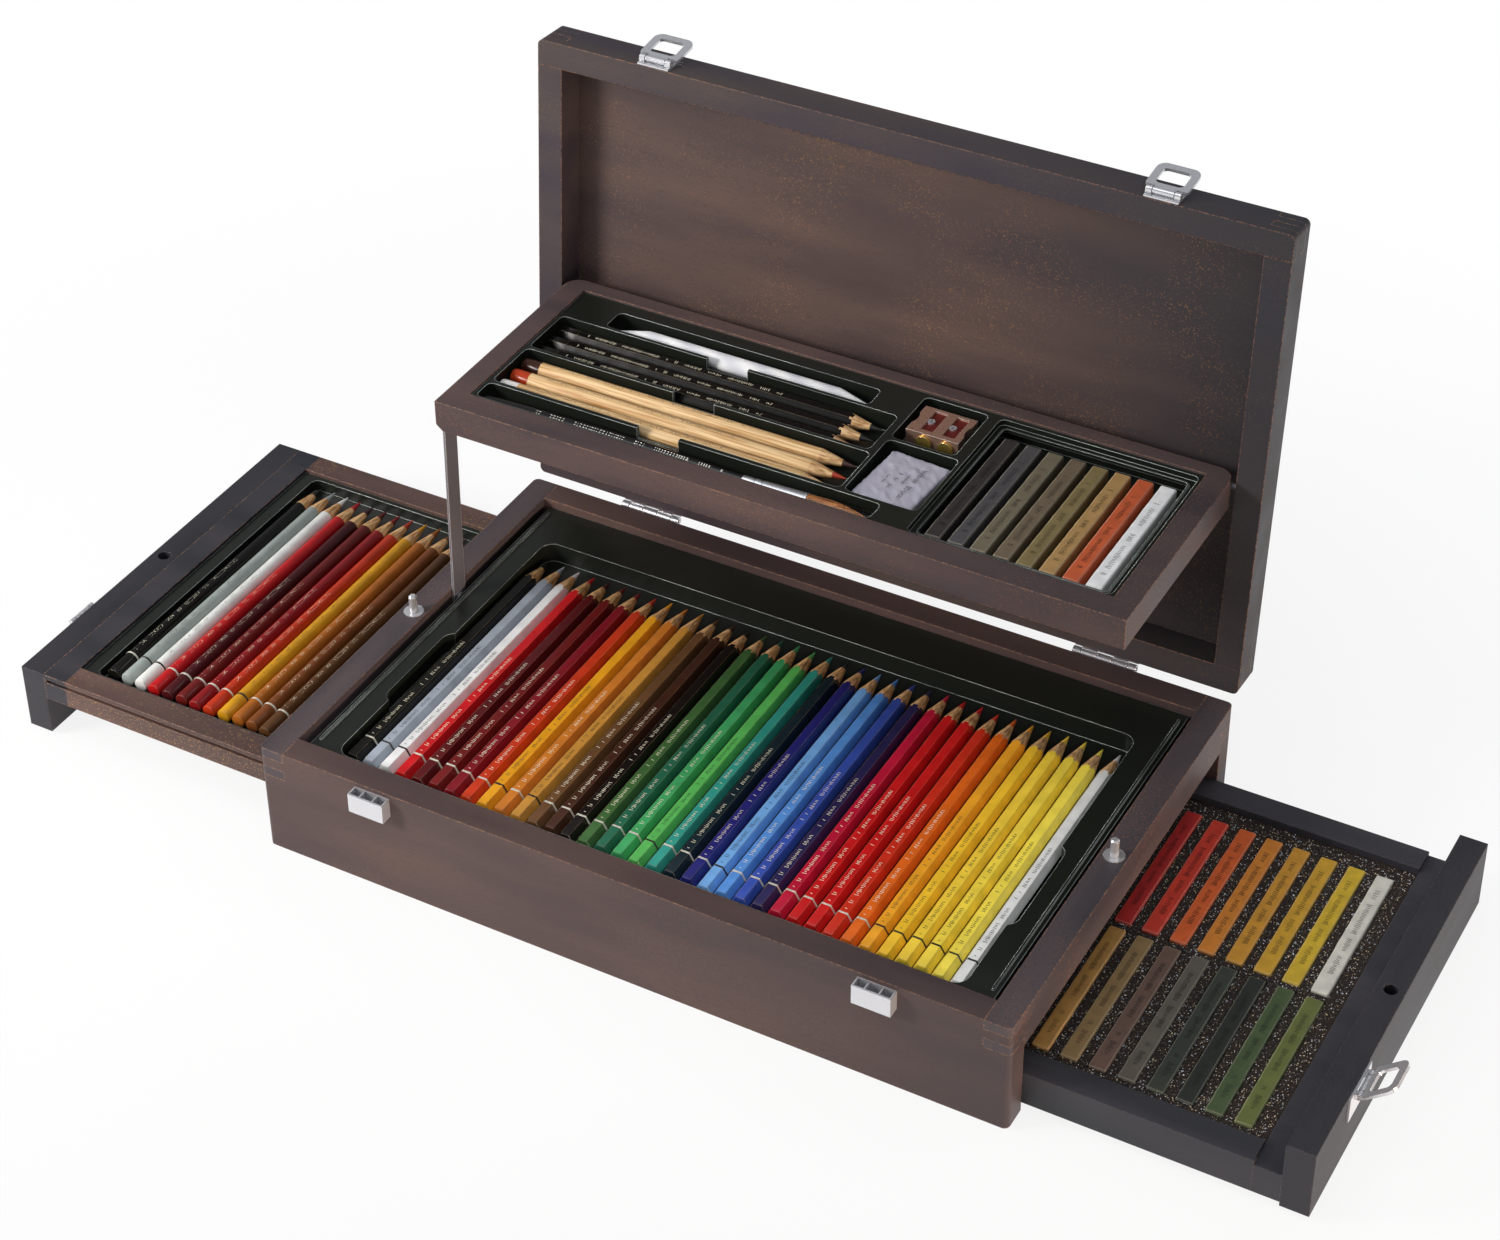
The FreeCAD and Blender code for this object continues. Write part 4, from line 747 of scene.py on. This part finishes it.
def row_tree(name, zone_materials):
    """Tree that lays Count copies of Piece from Start by Pitch, each moved a little within Wander."""
    tree, given = open_tree(name, Count="Int", Start="Vector", Pitch="Vector", Wander="Vector", Seed="Int",
                            Piece="Object")
    line = add(tree, "GeometryNodeMeshLine", {"Count": given["Count"], "Start Location": given["Start"],
                                              "Offset": given["Pitch"]}, mode="OFFSET")
    back = add(tree, "ShaderNodeVectorMath", {0: given["Wander"], "Scale": -1.0}, operation="SCALE")
    dice = add(tree, "FunctionNodeRandomValue", {0: back, 1: given["Wander"], "Seed": given["Seed"]},
               data_type="FLOAT_VECTOR")
    points = add(tree, "GeometryNodeSetPosition", {"Geometry": line, "Offset": dice.outputs[0]})
    piece = add(tree, "GeometryNodeObjectInfo", {"Object": given["Piece"]}).outputs["Geometry"]
    copies = add(tree, "GeometryNodeInstanceOnPoints", {"Points": points, "Instance": piece})
    number = add(tree, "GeometryNodeInputIndex")
    copies = add(tree, "GeometryNodeStoreNamedAttribute",
                 {"Geometry": copies, "Name": "item", "Value": number},
                 data_type="INT", domain="INSTANCE")
    flow = add(tree, "GeometryNodeRealizeInstances", {"Geometry": copies})
    zone = add(tree, "GeometryNodeInputNamedAttribute", {"Name": "zone"}, data_type="INT")
    for number, key in enumerate(zone_materials):
        same = add(tree, "FunctionNodeCompare", {2: zone, 3: number}, data_type="INT", operation="EQUAL")
        flow = add(tree, "GeometryNodeSetMaterial", {"Geometry": flow, "Selection": same,
                                                     "Material": MAT[key]})
    add(tree, "NodeGroupOutput", {0: flow})
    return tree


def settle(name, tree, **values):
    """Run a tree once and keep what it makes as a plain mesh object."""
    host = bpy.data.objects.new(name + "_host", bpy.data.meshes.new(name + "_host"))
    scene.collection.objects.link(host)
    modifier = host.modifiers.new("tree", "NODES")
    modifier.node_group = tree
    for item in tree.interface.items_tree:
        if item.in_out == "INPUT" and item.name in values:
            modifier[item.identifier] = values[item.name]
    bpy.context.view_layer.update()
    mesh = bpy.data.meshes.new_from_object(host.evaluated_get(bpy.context.evaluated_depsgraph_get()))
    host.modifiers.clear()
    bpy.data.objects.remove(host)
    mesh.name = name
    made = bpy.data.objects.new(name, mesh)
    scene.collection.objects.link(made)
    return made


LACQUERED = ("dipped_lacquer", "dipped_lacquer", "stamped_foil", "cut_cedar_y", "pencil_lead", "stamped_foil")
pencils_along_y = row_tree("pencils_along_y", LACQUERED)
pencils_along_x = row_tree("pencils_along_x", [m.replace("cedar_y", "cedar_x") for m in LACQUERED])
CLEAR = ("varnished_cedar", "dipped_lacquer", "varnished_cedar", "cut_cedar_x", "pencil_lead", "pencil_lead")
bare_pencils = row_tree("bare_pencils", CLEAR)
chalk_sticks = row_tree("chalk_sticks", ["pressed_chalk"] * 5 + ["pencil_lead"])
print("four row trees,", len(pencils_along_y.nodes), "nodes in the first")

# %% [markdown]
# ## Colours of the rows
#
# Each colour is written as it looks on screen. Pale barrels carry dark print and a dark ring and dark ones
# carry pale foil, as such sets do. The tint of a face comes from the number of its copy and from its zone.
# The sharpened ends lie in the shade under the tray, where only light that has come off the brown lid
# reaches them, so paints with little red in them look deeper towards that end. That shade is painted
# into the tint: each row's tip shade darkens it along the pencils.

# %% Colour lists
WELL_PENCILS = (
    "#16140F", "#A4ADB9", "#EAEAEA", "#CC1A20", "#5E161A", "#741C1C", "#861824", "#C83A1C", "#E8A020",
    "#D07C2C", "#C88E3C", "#6E4C30", "#4A2C20", "#1E1816", "#446C3C", "#2C6C52", "#46AA68", "#60C060",
    "#38A090", "#1C2C34", "#2A2A78", "#78B0EC", "#5C98E4", "#3C56B4", "#302A58", "#C01C3C", "#CC1E20",
    "#CE2020", "#D43420", "#E66A20", "#F4A82C", "#F8C634", "#FAD444", "#FADC4C", "#FCE454", "#ECECE8")
DRAWER_PENCILS = (
    "#14120F", "#A0A8A4", "#E4E4E0", "#B8181C", "#4A1418", "#6A1A18", "#8A181C", "#B83418", "#D0941E",
    "#A86020", "#7A4420", "#5A3A20", "#4A3420",
    "#1E5A34", "#2E8A44", "#1A4A6A", "#2A62B0", "#20307C", "#3A2050", "#8A1A50", "#C03060")
BACK_CHALKS = ("#D8D4C8", "#D0AC28", "#D09E28", "#D6962C", "#DA8428", "#DC6024", "#D43822", "#C02420",
               "#9C1A24", "#7A1A2C", "#5A2038", "#3A2040")
FRONT_CHALKS = ("#646C34", "#445432", "#20241E", "#343A30", "#625A50", "#6A5044", "#90744A", "#C08E48",
                "#A8642C", "#8A4A24", "#6A3A24", "#4A2C20")
TRAY_CHALKS = ("#2C2624", "#484648", "#6C6450", "#6A5C48", "#7C6C44", "#A88450", "#C0562C", "#E8E8E8")
CAPS = ("#3A2018", "#A83818", "#E8E4E0")
PALE_FOIL, DARK_FOIL = "#FFF6D8", "#302C28"


def brightness(code):
    """How light a colour looks, from 0 to 1."""
    return sum(w * int(code[i:i + 2], 16) / 255 for w, i in ((0.3, 1), (0.59, 3), (0.11, 5)))


def pencil_tints(codes):
    """Paint, ring and print colour of each pencil."""
    return [(code, "#302C28" if brightness(code) > 0.56 else "#E4E0D0",
             DARK_FOIL if brightness(code) > 0.56 else PALE_FOIL) for code in codes]


def chalk_tints(codes):
    """Stick colour and, for the stamped marks, a darker one."""
    darker = ["#" + "".join("%02X" % int(int(c[i:i + 2], 16) * 0.42) for i in (1, 3, 5)) for c in codes]
    return [(code, dark, dark) for code, dark in zip(codes, darker)]


def paint(made, tints, painted_tip_shade):
    """Write the tint of every face corner from its copy's number and its zone, with painted shade along Y."""
    mesh = made.data
    item = np.zeros(len(mesh.vertices), np.int32)
    mesh.attributes["item"].data.foreach_get("value", item)
    zone = np.zeros(len(mesh.polygons), np.int32)
    mesh.attributes["zone"].data.foreach_get("value", zone)
    corners = np.zeros(len(mesh.polygons), np.int32)
    mesh.polygons.foreach_get("loop_total", corners)
    vertex = np.zeros(len(mesh.loops), np.int32)
    mesh.loops.foreach_get("vertex_index", vertex)
    table = np.array([[lin(code) for code in tint] for tint in tints], np.float32)
    part = np.array([0, 0, 1, 0, 0, 2])[np.repeat(zone, corners)]
    colours = table[item[vertex], part]
    # painted shade: the tint darkens along Y towards the sharpened ends, more for paints with little red
    place = np.zeros(len(mesh.vertices) * 3, np.float32)
    mesh.vertices.foreach_get("co", place)
    along = place[1::3]
    along = ((along - along.min()) / (along.max() - along.min()))[vertex]
    blue_share = 1.0 - np.sqrt(table[item[vertex], 0, 0])
    colours[:, :3] *= (1.0 - painted_tip_shade * along * blue_share)[:, None]
    tint = mesh.color_attributes.new("tint", "FLOAT_COLOR", "CORNER")
    tint.data.foreach_set("color", colours.ravel())


print(len(WELL_PENCILS) + len(DRAWER_PENCILS), "pencils,", len(BACK_CHALKS) + len(FRONT_CHALKS), "chalks")

# %% [markdown]
# ## Laying the rows
#
# Places come from the boxes of the plain solids, so a finished row lies exactly where its solids lay. The
# row then rides on the same body and stands for those solids.


# %% Rows in the well
def box_of(*names):
    """Low and high corner round some solids, in millimetres."""
    low = [min(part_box(n)[0][i] for n in names) / MM for i in range(3)]
    high = [max(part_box(n)[1][i] for n in names) / MM for i in range(3)]
    return low, high


def lay_row(name, body, tree, piece, count, start, pitch, tints, replaced, wander, turn=0.0, painted_tip_shade=0.0):
    """A finished row that rides on a body and stands for its solids."""
    made = settle(name, tree, Count=count, Start=[v * MM for v in start], Pitch=[v * MM for v in pitch],
                  Wander=[v * MM for v in wander], Seed=len(name), Piece=piece)
    paint(made, tints, painted_tip_shade)
    made.data.transform(Matrix.Rotation(math.radians(turn), 4, "Z"))
    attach(made, body)
    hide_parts(*replaced)
    print(name, count, "copies,", len(made.data.polygons), "faces")


FREE_END = 0.9
PENCIL_WANDER = (0.04, 0.8, 0)
WELL_NODES = ["pencils_" + family for family in ("neutral", "red", "earth", "green", "blue", "yellow")]
low, high = box_of(*WELL_NODES)
across = high[2] - low[2]
corner = across / math.sqrt(3)
well_pencil = pencil("well_pencil", high[1] - low[1] - FREE_END, across, 6, dip=14.5, ring=1.0, cone=19.5,
                     lead=1.6, print_span=(18, 98), seed=4)
count = len(WELL_PENCILS)
lay_row("well_pencils", "case", pencils_along_y, well_pencil, count,
        (low[0] + corner, low[1] + FREE_END, low[2] + across / 2),
        ((high[0] - low[0] - 2 * corner) / (count - 1), 0, 0),
        pencil_tints(WELL_PENCILS), WELL_NODES, PENCIL_WANDER, painted_tip_shade=0.55)

# %% [markdown]
# The left drawer's pencils are round, so their print wraps slightly round the barrel. The second row lies
# deeper in the drawer, under the case when it is open this far.

# %% Rows in the left drawer
FIRST_COUNT = 13
FIRST_NODES = ["drawer_pencils_" + family for family in ("neutral", "red", "earth")]
low, high = box_of(*FIRST_NODES)
across = high[2] - low[2]
pitch = (high[0] - low[0] - across) / (FIRST_COUNT - 1)
drawer_pencil = pencil("drawer_pencil", high[1] - low[1] - FREE_END, across, 0, dip=15.0, ring=1.0,
                       cone=20.0, lead=1.7, print_span=(19, 104), seed=8)
lay_row("drawer_pencils_first", "left_drawer", pencils_along_y, drawer_pencil, FIRST_COUNT,
        (low[0] + across / 2, low[1] + FREE_END, low[2] + across / 2), (pitch, 0, 0),
        pencil_tints(DRAWER_PENCILS[:FIRST_COUNT]), FIRST_NODES, PENCIL_WANDER, painted_tip_shade=0.5)
low, high = box_of("drawer_pencils_cool")
second = DRAWER_PENCILS[FIRST_COUNT:]
lay_row("drawer_pencils_second", "left_drawer", pencils_along_y, drawer_pencil, len(second),
        (low[0] + across / 2, low[1] + FREE_END, low[2] + across / 2), (pitch, 0, 0),
        pencil_tints(second), ["drawer_pencils_cool"], PENCIL_WANDER)

# %% [markdown]
# Chalks lie in two rows in the right drawer and in one in the tray. The colour lists start at the drawer's
# outer end, so there the row is laid from high X to low X.

# %% Rows of chalk
CHALK_ROWS = (
    # name, solids, body, colours, laid towards
    ("chalk_row_back", "chalks_back_row", "right_drawer", BACK_CHALKS, -1),
    ("chalk_row_front", "chalks_front_row", "right_drawer", FRONT_CHALKS, -1),
    ("chalk_row_in_tray", "tray_chalks", "tray", TRAY_CHALKS, 1),
)
for name, solids, body, codes, towards in CHALK_ROWS:
    low, high = box_of(solids)
    across = high[2] - low[2]
    one = chalk(name + "_stick", high[1] - low[1] - 0.5, across - 0.1, len(name))
    step = towards * (high[0] - low[0] - across) / (len(codes) - 1)
    first = low[0] + across / 2 if towards > 0 else high[0] - across / 2
    lay_row(name, body, chalk_sticks, one, len(codes), (first, low[1] + 0.25, low[2]), (step, 0, 0),
            chalk_tints(codes), [solids], (0.06, 0.2, 0))
    bpy.data.objects.remove(one)

# %% [markdown]
# The tray's pencils lie along X, so their rows are laid along Y and turned by a quarter. Three are black
# lacquered graphite pencils. Three are drawing pencils in clear varnish with a coloured cap.

# %% Rows in the tray
TRAY_ROWS = (
    # name, solids, tree, sides, cap length, paints, print colour
    ("black_tray_pencils", "black_pencils", pencils_along_x, 6, 10.0, ("#0A0908",) * 3, PALE_FOIL),
    ("natural_tray_pencils", "natural_pencils", bare_pencils, 0, 10.0, CAPS, "#6A5A48"),
)
for name, solids, tree, sides, cap, codes, print_colour in TRAY_ROWS:
    low, high = box_of(solids)
    across = high[2] - low[2]
    corner = across / math.sqrt(3)
    thick = across if sides else across + 0.8
    one = pencil(name + "_piece", high[0] - low[0] - 0.6, thick, sides, dip=cap, ring=0.1, cone=18.0,
                 lead=1.7, print_span=(16, 126), seed=6)
    lay_row(name, "tray", tree, one, 3, (corner - high[1], low[0] + 0.6, low[2] + thick / 2),
            ((high[1] - low[1] - 2 * corner) / 2, 0, 0), [(code, code, print_colour) for code in codes],
            [solids], (0.03, 0.5, 0), turn=-90)
    bpy.data.objects.remove(one)
for one in (well_pencil, drawer_pencil):
    bpy.data.objects.remove(one)

# %% [markdown]
# ## Turned tools
#
# The stump, the brush and its sleeve are turned shapes: an outline swept round an axis. The outline is a
# short list of places and radii. A modifier could do the sweep, but the mesh is so plain that writing the
# rings directly is shorter and leaves closed, outward-facing ends.


# %% Turned pieces
def turned(name, outline, centre, material_key, replaced=(), around=32, tube=False):
    """Piece turned round an axis along X from (x, radius) pairs in millimetres; rides on the tray."""
    turns = [2 * math.pi * k / around for k in range(around)]
    verts = [(x, centre[0] + r * math.cos(a), centre[1] + r * math.sin(a)) for x, r in outline for a in turns]
    faces = [(i * around + k, i * around + (k + 1) % around, (i + 1) * around + (k + 1) % around,
              (i + 1) * around + k) for i in range(len(outline) - 1) for k in range(around)]
    last = (len(outline) - 1) * around
    if tube:
        faces += [(last + k, last + (k + 1) % around, (k + 1) % around, k) for k in range(around)]
    else:
        faces += [tuple(range(around - 1, -1, -1)), tuple(range(last, last + around))]
    mesh = bpy.data.meshes.new(name)
    mesh.from_pydata([Vector(v) * MM for v in verts], [], faces)
    work = bmesh.new()
    work.from_mesh(mesh)
    bmesh.ops.recalc_face_normals(work, faces=work.faces)
    work.to_mesh(mesh)
    work.free()
    mesh.polygons.foreach_set("use_smooth", [True] * len(faces))
    mesh.set_sharp_from_angle(angle=math.radians(35))
    mesh.materials.append(MAT[material_key])
    made = bpy.data.objects.new(name, mesh)
    scene.collection.objects.link(made)
    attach(made, "tray")
    if replaced:
        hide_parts(*replaced)
    print(name, len(faces), "faces")


low, high = box_of("paper_stump")
axis = ((low[1] + high[1]) / 2, (low[2] + high[2]) / 2)
r = (high[2] - low[2]) / 2
turned("stump", ((low[0], 0.6), (low[0] + 16, r), (high[0] - 16, r), (high[0], 0.6)), axis, "rolled_paper",
       ["paper_stump"])

# %% [markdown]
# The brush lies with its axis along the well. Its handle swells behind the ferrule and thins towards the
# end. The ferrule is a cone with two rolled beads, and the hair swells and comes to a point inside a thin
# clear sleeve. A line of pale print on the handle is small strokes only.

# %% Brush
THIN_END, PRINT_LIFT = 1.6, 0.06
SLEEVE_RADIUS, SLEEVE_WALL = 4.15, 0.25
low, high = box_of("brush_handle")
axis = ((low[1] + high[1]) / 2, (low[2] + high[2]) / 2)
r, long = (high[2] - low[2]) / 2, high[0] - low[0]


def handle_radius(share):
    """Radius of the handle at a share of its length, in millimetres."""
    return THIN_END + (r - THIN_END) * math.sin(math.pi * (0.06 + 0.9 * share)) ** 0.6


swell = [(low[0] + long * k / 18, handle_radius(k / 18)) for k in range(18)] + [(high[0], 2.7)]
turned("brush_handle_turned", swell, axis, "black_varnish", ["brush_handle"])
verts, faces, zones = [], [], []
dice = random.Random(3)
x = low[0] + 30
while x < high[0] - 14:
    if dice.random() < 0.14:
        x += 5
    wide = dice.uniform(0.35, 1.1)
    lift = handle_radius((x - low[0]) / long) + PRINT_LIFT
    # each stroke spans this arc of the handle, in degrees up from its front side
    for dx, a in ((0, 58), (wide, 58), (wide, 84), (0, 84)):
        a = math.radians(180 - a)
        verts.append((x + dx, axis[0] + lift * math.cos(a), axis[1] + lift * math.sin(a)))
    faces.append(tuple(range(len(verts) - 4, len(verts))))
    zones.append(PRINT)
    x += wide + dice.uniform(0.5, 1.0)
print_piece("brush_print", verts, faces, zones, "#F4F0E4", "stamped_foil")
low, high = box_of("brush_ferrule")
r = (high[2] - low[2]) / 2
beads = [(low[0], 2.9), (low[0] + 5, 3.0), (low[0] + 5.4, 2.8), (low[0] + 6.4, 2.8), (low[0] + 6.8, 3.1),
         (low[0] + 9, 3.1), (low[0] + 9.4, 2.9), (low[0] + 10.4, 2.9), (low[0] + 10.8, 3.2), (high[0], r)]
turned("brush_ferrule_rolled", beads, axis, "rolled_aluminium", ["brush_ferrule"])
low, high = box_of("brush_bristles")
r = (high[2] - low[2]) / 2
belly = [(low[0], 3.4), (low[0] + 8, r * 0.93), (low[0] + 13, r * 0.95), (low[0] + 19, r * 0.8),
         (low[0] + 26, r * 0.46), (high[0], 0.4)]
turned("brush_hair_belly", belly, axis, "brush_hair", ["brush_bristles"])
inside = SLEEVE_RADIUS - SLEEVE_WALL
start, end = low[0] - 1, high[0] + 4
sleeve_wall = ((start, SLEEVE_RADIUS), (end, SLEEVE_RADIUS), (end, inside), (start, inside))
turned("brush_sleeve", sleeve_wall, axis, "clear_sleeve", tube=True)

# %% [markdown]
# ## Screw heads
#
# The hinges are held by twelve small cross-head screws, and the sharpener's two blades by one each. In the
# frame they are plain studs. One tree cuts a cross into a low round head and puts a copy on every point,
# turned to face the way that point does. The points are read from the studs: each one's outermost point
# along the direction in which its head faces.


# %% Screw tree
def screw_tree(metal):
    """Tree that puts a cross-head on each of Points; heads face the points' own direction."""
    tree, given = open_tree("screw_heads", Points="Object", Radius="Float", Height="Float", Slot="Float")
    disc = add(tree, "GeometryNodeMeshCylinder", {"Vertices": 24, "Radius": given["Radius"],
                                                  "Depth": given["Height"]}).outputs["Mesh"]
    long = add(tree, "ShaderNodeMath", {0: given["Radius"], 1: 1.3}, operation="MULTIPLY")
    across = add(tree, "ShaderNodeCombineXYZ", {0: long, 1: given["Slot"], 2: given["Height"]})
    along = add(tree, "ShaderNodeCombineXYZ", {0: given["Slot"], 1: long, 2: given["Height"]})
    up = add(tree, "ShaderNodeMath", {0: given["Height"], 1: 0.4}, operation="MULTIPLY")
    up = add(tree, "ShaderNodeCombineXYZ", {2: up})
    cutters = []
    for size in (across, along):
        bar = add(tree, "GeometryNodeMeshCube", {"Size": size}).outputs["Mesh"]
        cutters.append(add(tree, "GeometryNodeTransform", {"Geometry": bar, "Translation": up}))
    head = add(tree, "GeometryNodeMeshBoolean", {0: disc, 1: cutters[0]}, operation="DIFFERENCE")
    head = add(tree, "GeometryNodeMeshBoolean", {0: head, 1: cutters[1]}, operation="DIFFERENCE")
    spots = add(tree, "GeometryNodeObjectInfo", {"Object": given["Points"]}).outputs["Geometry"]
    facing = add(tree, "GeometryNodeInputNamedAttribute", {"Name": "facing"}, data_type="FLOAT_VECTOR")
    turn = add(tree, "FunctionNodeAlignRotationToVector", {"Vector": facing}, axis="Z")
    heads = add(tree, "GeometryNodeInstanceOnPoints", {"Points": spots, "Instance": head, "Rotation": turn})
    heads = add(tree, "GeometryNodeRealizeInstances", {"Geometry": heads})
    heads = add(tree, "GeometryNodeSetMaterial", {"Geometry": heads, "Material": MAT[metal]})
    add(tree, "NodeGroupOutput", {0: heads})
    return tree


screws = screw_tree("polished_chrome")

# %% [markdown]
# A stud's solid is a loose piece of its node's mesh, so the pieces are found first, on a merged copy.

# %% Set the screws
def studs(node, facing):
    """Outermost point of each loose piece of a node along a direction, on the piece's axis."""
    work = bmesh.new()
    work.from_mesh(nodes[node].data)
    bmesh.ops.remove_doubles(work, verts=work.verts, dist=1e-6)
    # a dict keeps its order, so the points come out the same on every run
    todo, out = dict.fromkeys(work.verts), []
    while todo:
        stack, piece = [todo.popitem()[0]], []
        while stack:
            vertex = stack.pop()
            piece.append(vertex.co.copy())
            for link in vertex.link_edges:
                other = link.other_vert(vertex)
                if other in todo:
                    del todo[other]
                    stack.append(other)
        top = max(co.dot(facing) for co in piece)
        rim = [co for co in piece if co.dot(facing) > top - 0.1 * MM]
        out.append(sum(rim, Vector()) / len(rim))
    work.free()
    return out


def set_screws(name, body, spots, facing, radius, height, slot):
    """Screw heads on some spots, as one piece that rides on a body."""
    mesh = bpy.data.meshes.new(name + "_spots")
    mesh.from_pydata(spots, [], [])
    turned_to = mesh.attributes.new("facing", "FLOAT_VECTOR", "POINT")
    turned_to.data.foreach_set("vector", list(facing) * len(spots))
    host = bpy.data.objects.new(name + "_spots", mesh)
    scene.collection.objects.link(host)
    made = settle(name, screws, Points=host, Radius=radius * MM, Height=height * MM, Slot=slot * MM)
    bpy.data.objects.remove(host)
    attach(made, body)
    print(name, len(spots), "heads,", len(made.data.polygons), "faces")


LID_OPEN_DEG = 94.3
opened = math.radians(LID_OPEN_DEG)
lid_face = Vector((0.0, math.cos(opened), -math.sin(opened)))
case_face = Vector((0, 1, 0))
set_screws("case_screw_heads", "case", studs("hinge_screws_case", case_face), case_face,
           radius=2.0, height=0.5, slot=0.5)
set_screws("lid_screw_heads", "lid", studs("hinge_screws_lid", lid_face), lid_face,
           radius=2.0, height=0.5, slot=0.5)
low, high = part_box("sharpener")
blade_screws = [Vector((low.x + x * MM, low.y + 11 * MM, high.z - 0.55 * MM)) for x in (8.0, 19.4)]
set_screws("sharpener_screw_heads", "tray", blade_screws, Vector((0, 0, 1)), radius=1.9, height=1.0,
           slot=0.5)

# %% [markdown]
# ## Glitter in the foam
#
# The foam is flecked with mica that sparkles. Painted dots would look flat, so seeded points on the foam's
# top each get a tiny flake with eight faces. The tree has named inputs and ends in real geometry, as the
# rows do.

# %% Glitter tree
glitter_tree, given = open_tree("glitter", Width="Float", Depth="Float", Density="Float", Flake="Float",
                                Place="Vector", Seed="Int")
top = add(glitter_tree, "GeometryNodeMeshGrid", {"Size X": given["Width"], "Size Y": given["Depth"],
                                                 "Vertices X": 2, "Vertices Y": 2})
dots = add(glitter_tree, "GeometryNodeDistributePointsOnFaces",
           {"Mesh": top, "Density": given["Density"], "Seed": given["Seed"]}).outputs["Points"]
gem = add(glitter_tree, "GeometryNodeMeshUVSphere", {"Radius": given["Flake"], "Segments": 4, "Rings": 2})
size = add(glitter_tree, "FunctionNodeRandomValue", {2: 0.3, 3: 1.0, "Seed": given["Seed"]},
           data_type="FLOAT")
gems = add(glitter_tree, "GeometryNodeInstanceOnPoints", {"Points": dots, "Instance": gem, "Scale": size})
gems = add(glitter_tree, "GeometryNodeRealizeInstances", {"Geometry": gems})
gems = add(glitter_tree, "GeometryNodeTransform", {"Geometry": gems, "Translation": given["Place"]})
gems = add(glitter_tree, "GeometryNodeSetMaterial", {"Geometry": gems, "Material": MAT["mica_flake"]})
add(glitter_tree, "NodeGroupOutput", {0: gems})

FLAKES_PER_M2, FLAKE_RADIUS = 480000.0, 0.4
low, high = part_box("right_drawer_foam")
glitter = settle("foam_glitter", glitter_tree, Width=high.x - low.x - 0.002, Depth=high.y - low.y - 0.002,
                 Density=FLAKES_PER_M2, Flake=FLAKE_RADIUS * MM, Seed=11,
                 Place=((low.x + high.x) / 2, (low.y + high.y) / 2, high.z))
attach(glitter, "right_drawer")
print("glitter", len(glitter.data.polygons), "faces")

# %% [markdown]
# ## Wrapped eraser
#
# The eraser is a soft slab in thin film with folded corners. A block is divided finely, its corners are
# rounded off, and its skin is pushed in along crossing folds, so the silhouette is uneven and not only the
# shading.

# %% Eraser
low, high = box_of("kneaded_eraser")
middle = Vector([(a + b) / 2 for a, b in zip(low, high)])
half = (15.9, 20.0, 4.1)
CORNER, LOWEST, CREASE = 1.6, 0.5, 1.1
tilt = Matrix.Rotation(math.radians(-4), 3, "Z")
bpy.ops.mesh.primitive_cube_add(size=2)
eraser = bpy.context.object
eraser.name = "wrapped_eraser"
divide = eraser.modifiers.new("divide", "SUBSURF")
divide.subdivision_type = "SIMPLE"
divide.levels = divide.render_levels = 5
bpy.context.view_layer.update()
mesh = bpy.data.meshes.new_from_object(eraser.evaluated_get(bpy.context.evaluated_depsgraph_get()))
eraser.modifiers.clear()
eraser.data = mesh
dice = random.Random(5)
folds = [(dice.uniform(0.2, 0.9), dice.uniform(0.2, 0.9), dice.uniform(0, 6.3)) for _ in range(7)]
for vertex in mesh.vertices:
    p = Vector([vertex.co[i] * half[i] for i in range(3)])
    core = Vector([max(-half[i] + CORNER, min(half[i] - CORNER, p[i])) for i in range(3)])
    out = (p - core).normalized() if (p - core).length > 1e-6 else Vector((0, 0, 1))
    crease = sum(abs(math.sin(a * p.x + b * p.y + c)) for a, b, c in folds) / len(folds)
    p = core + out * (LOWEST + CREASE * crease)
    vertex.co = (tilt @ p + middle) * MM
mesh.polygons.foreach_set("use_smooth", [True] * len(mesh.polygons))
mesh.materials.clear()
mesh.materials.append(MAT["folded_film"])
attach(eraser, "tray")
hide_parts("kneaded_eraser")
print("eraser", len(mesh.polygons), "faces")

# %% [markdown]
# The wrapper carries four short lines of dark print, here meaningless strokes. They turn with the eraser
# and lie just above its folds.

# %% Print on the wrapper
verts, faces, zones = [], [], []
for line, (first, last, tall) in enumerate(((-13, 12, 3.0), (-9, 9, 1.8), (-12, 10, 2.2), (-6, 5, 1.2))):
    start = len(verts)
    strokes(verts, faces, zones, (first, last), 0.0, (tall * 0.5, tall), 30 + line)
    verts[start:] = [(x + 6.0 - line * 4.2, y, 0.0) for x, y, _ in verts[start:]]
wrap = [tilt @ Vector(v) + Vector((middle.x, middle.y, high[2] + 0.05)) for v in verts]
print_piece("wrapper_print", wrap, faces, zones, "#3A3840", "pencil_lead")

# %% [markdown]
# ## Sizes and the end
#
# The finished pieces should stay within the frame. The box round them is measured again, both boxes are
# kept as plain numbers, and how far the high corner has grown is printed.

# %% Measure the sizes
box_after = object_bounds()
grown = [round((b - a) / MM, 2) for b, a in zip(box_after[1], box_before[1])]
print("grown by", grown, "mm at the high corner")
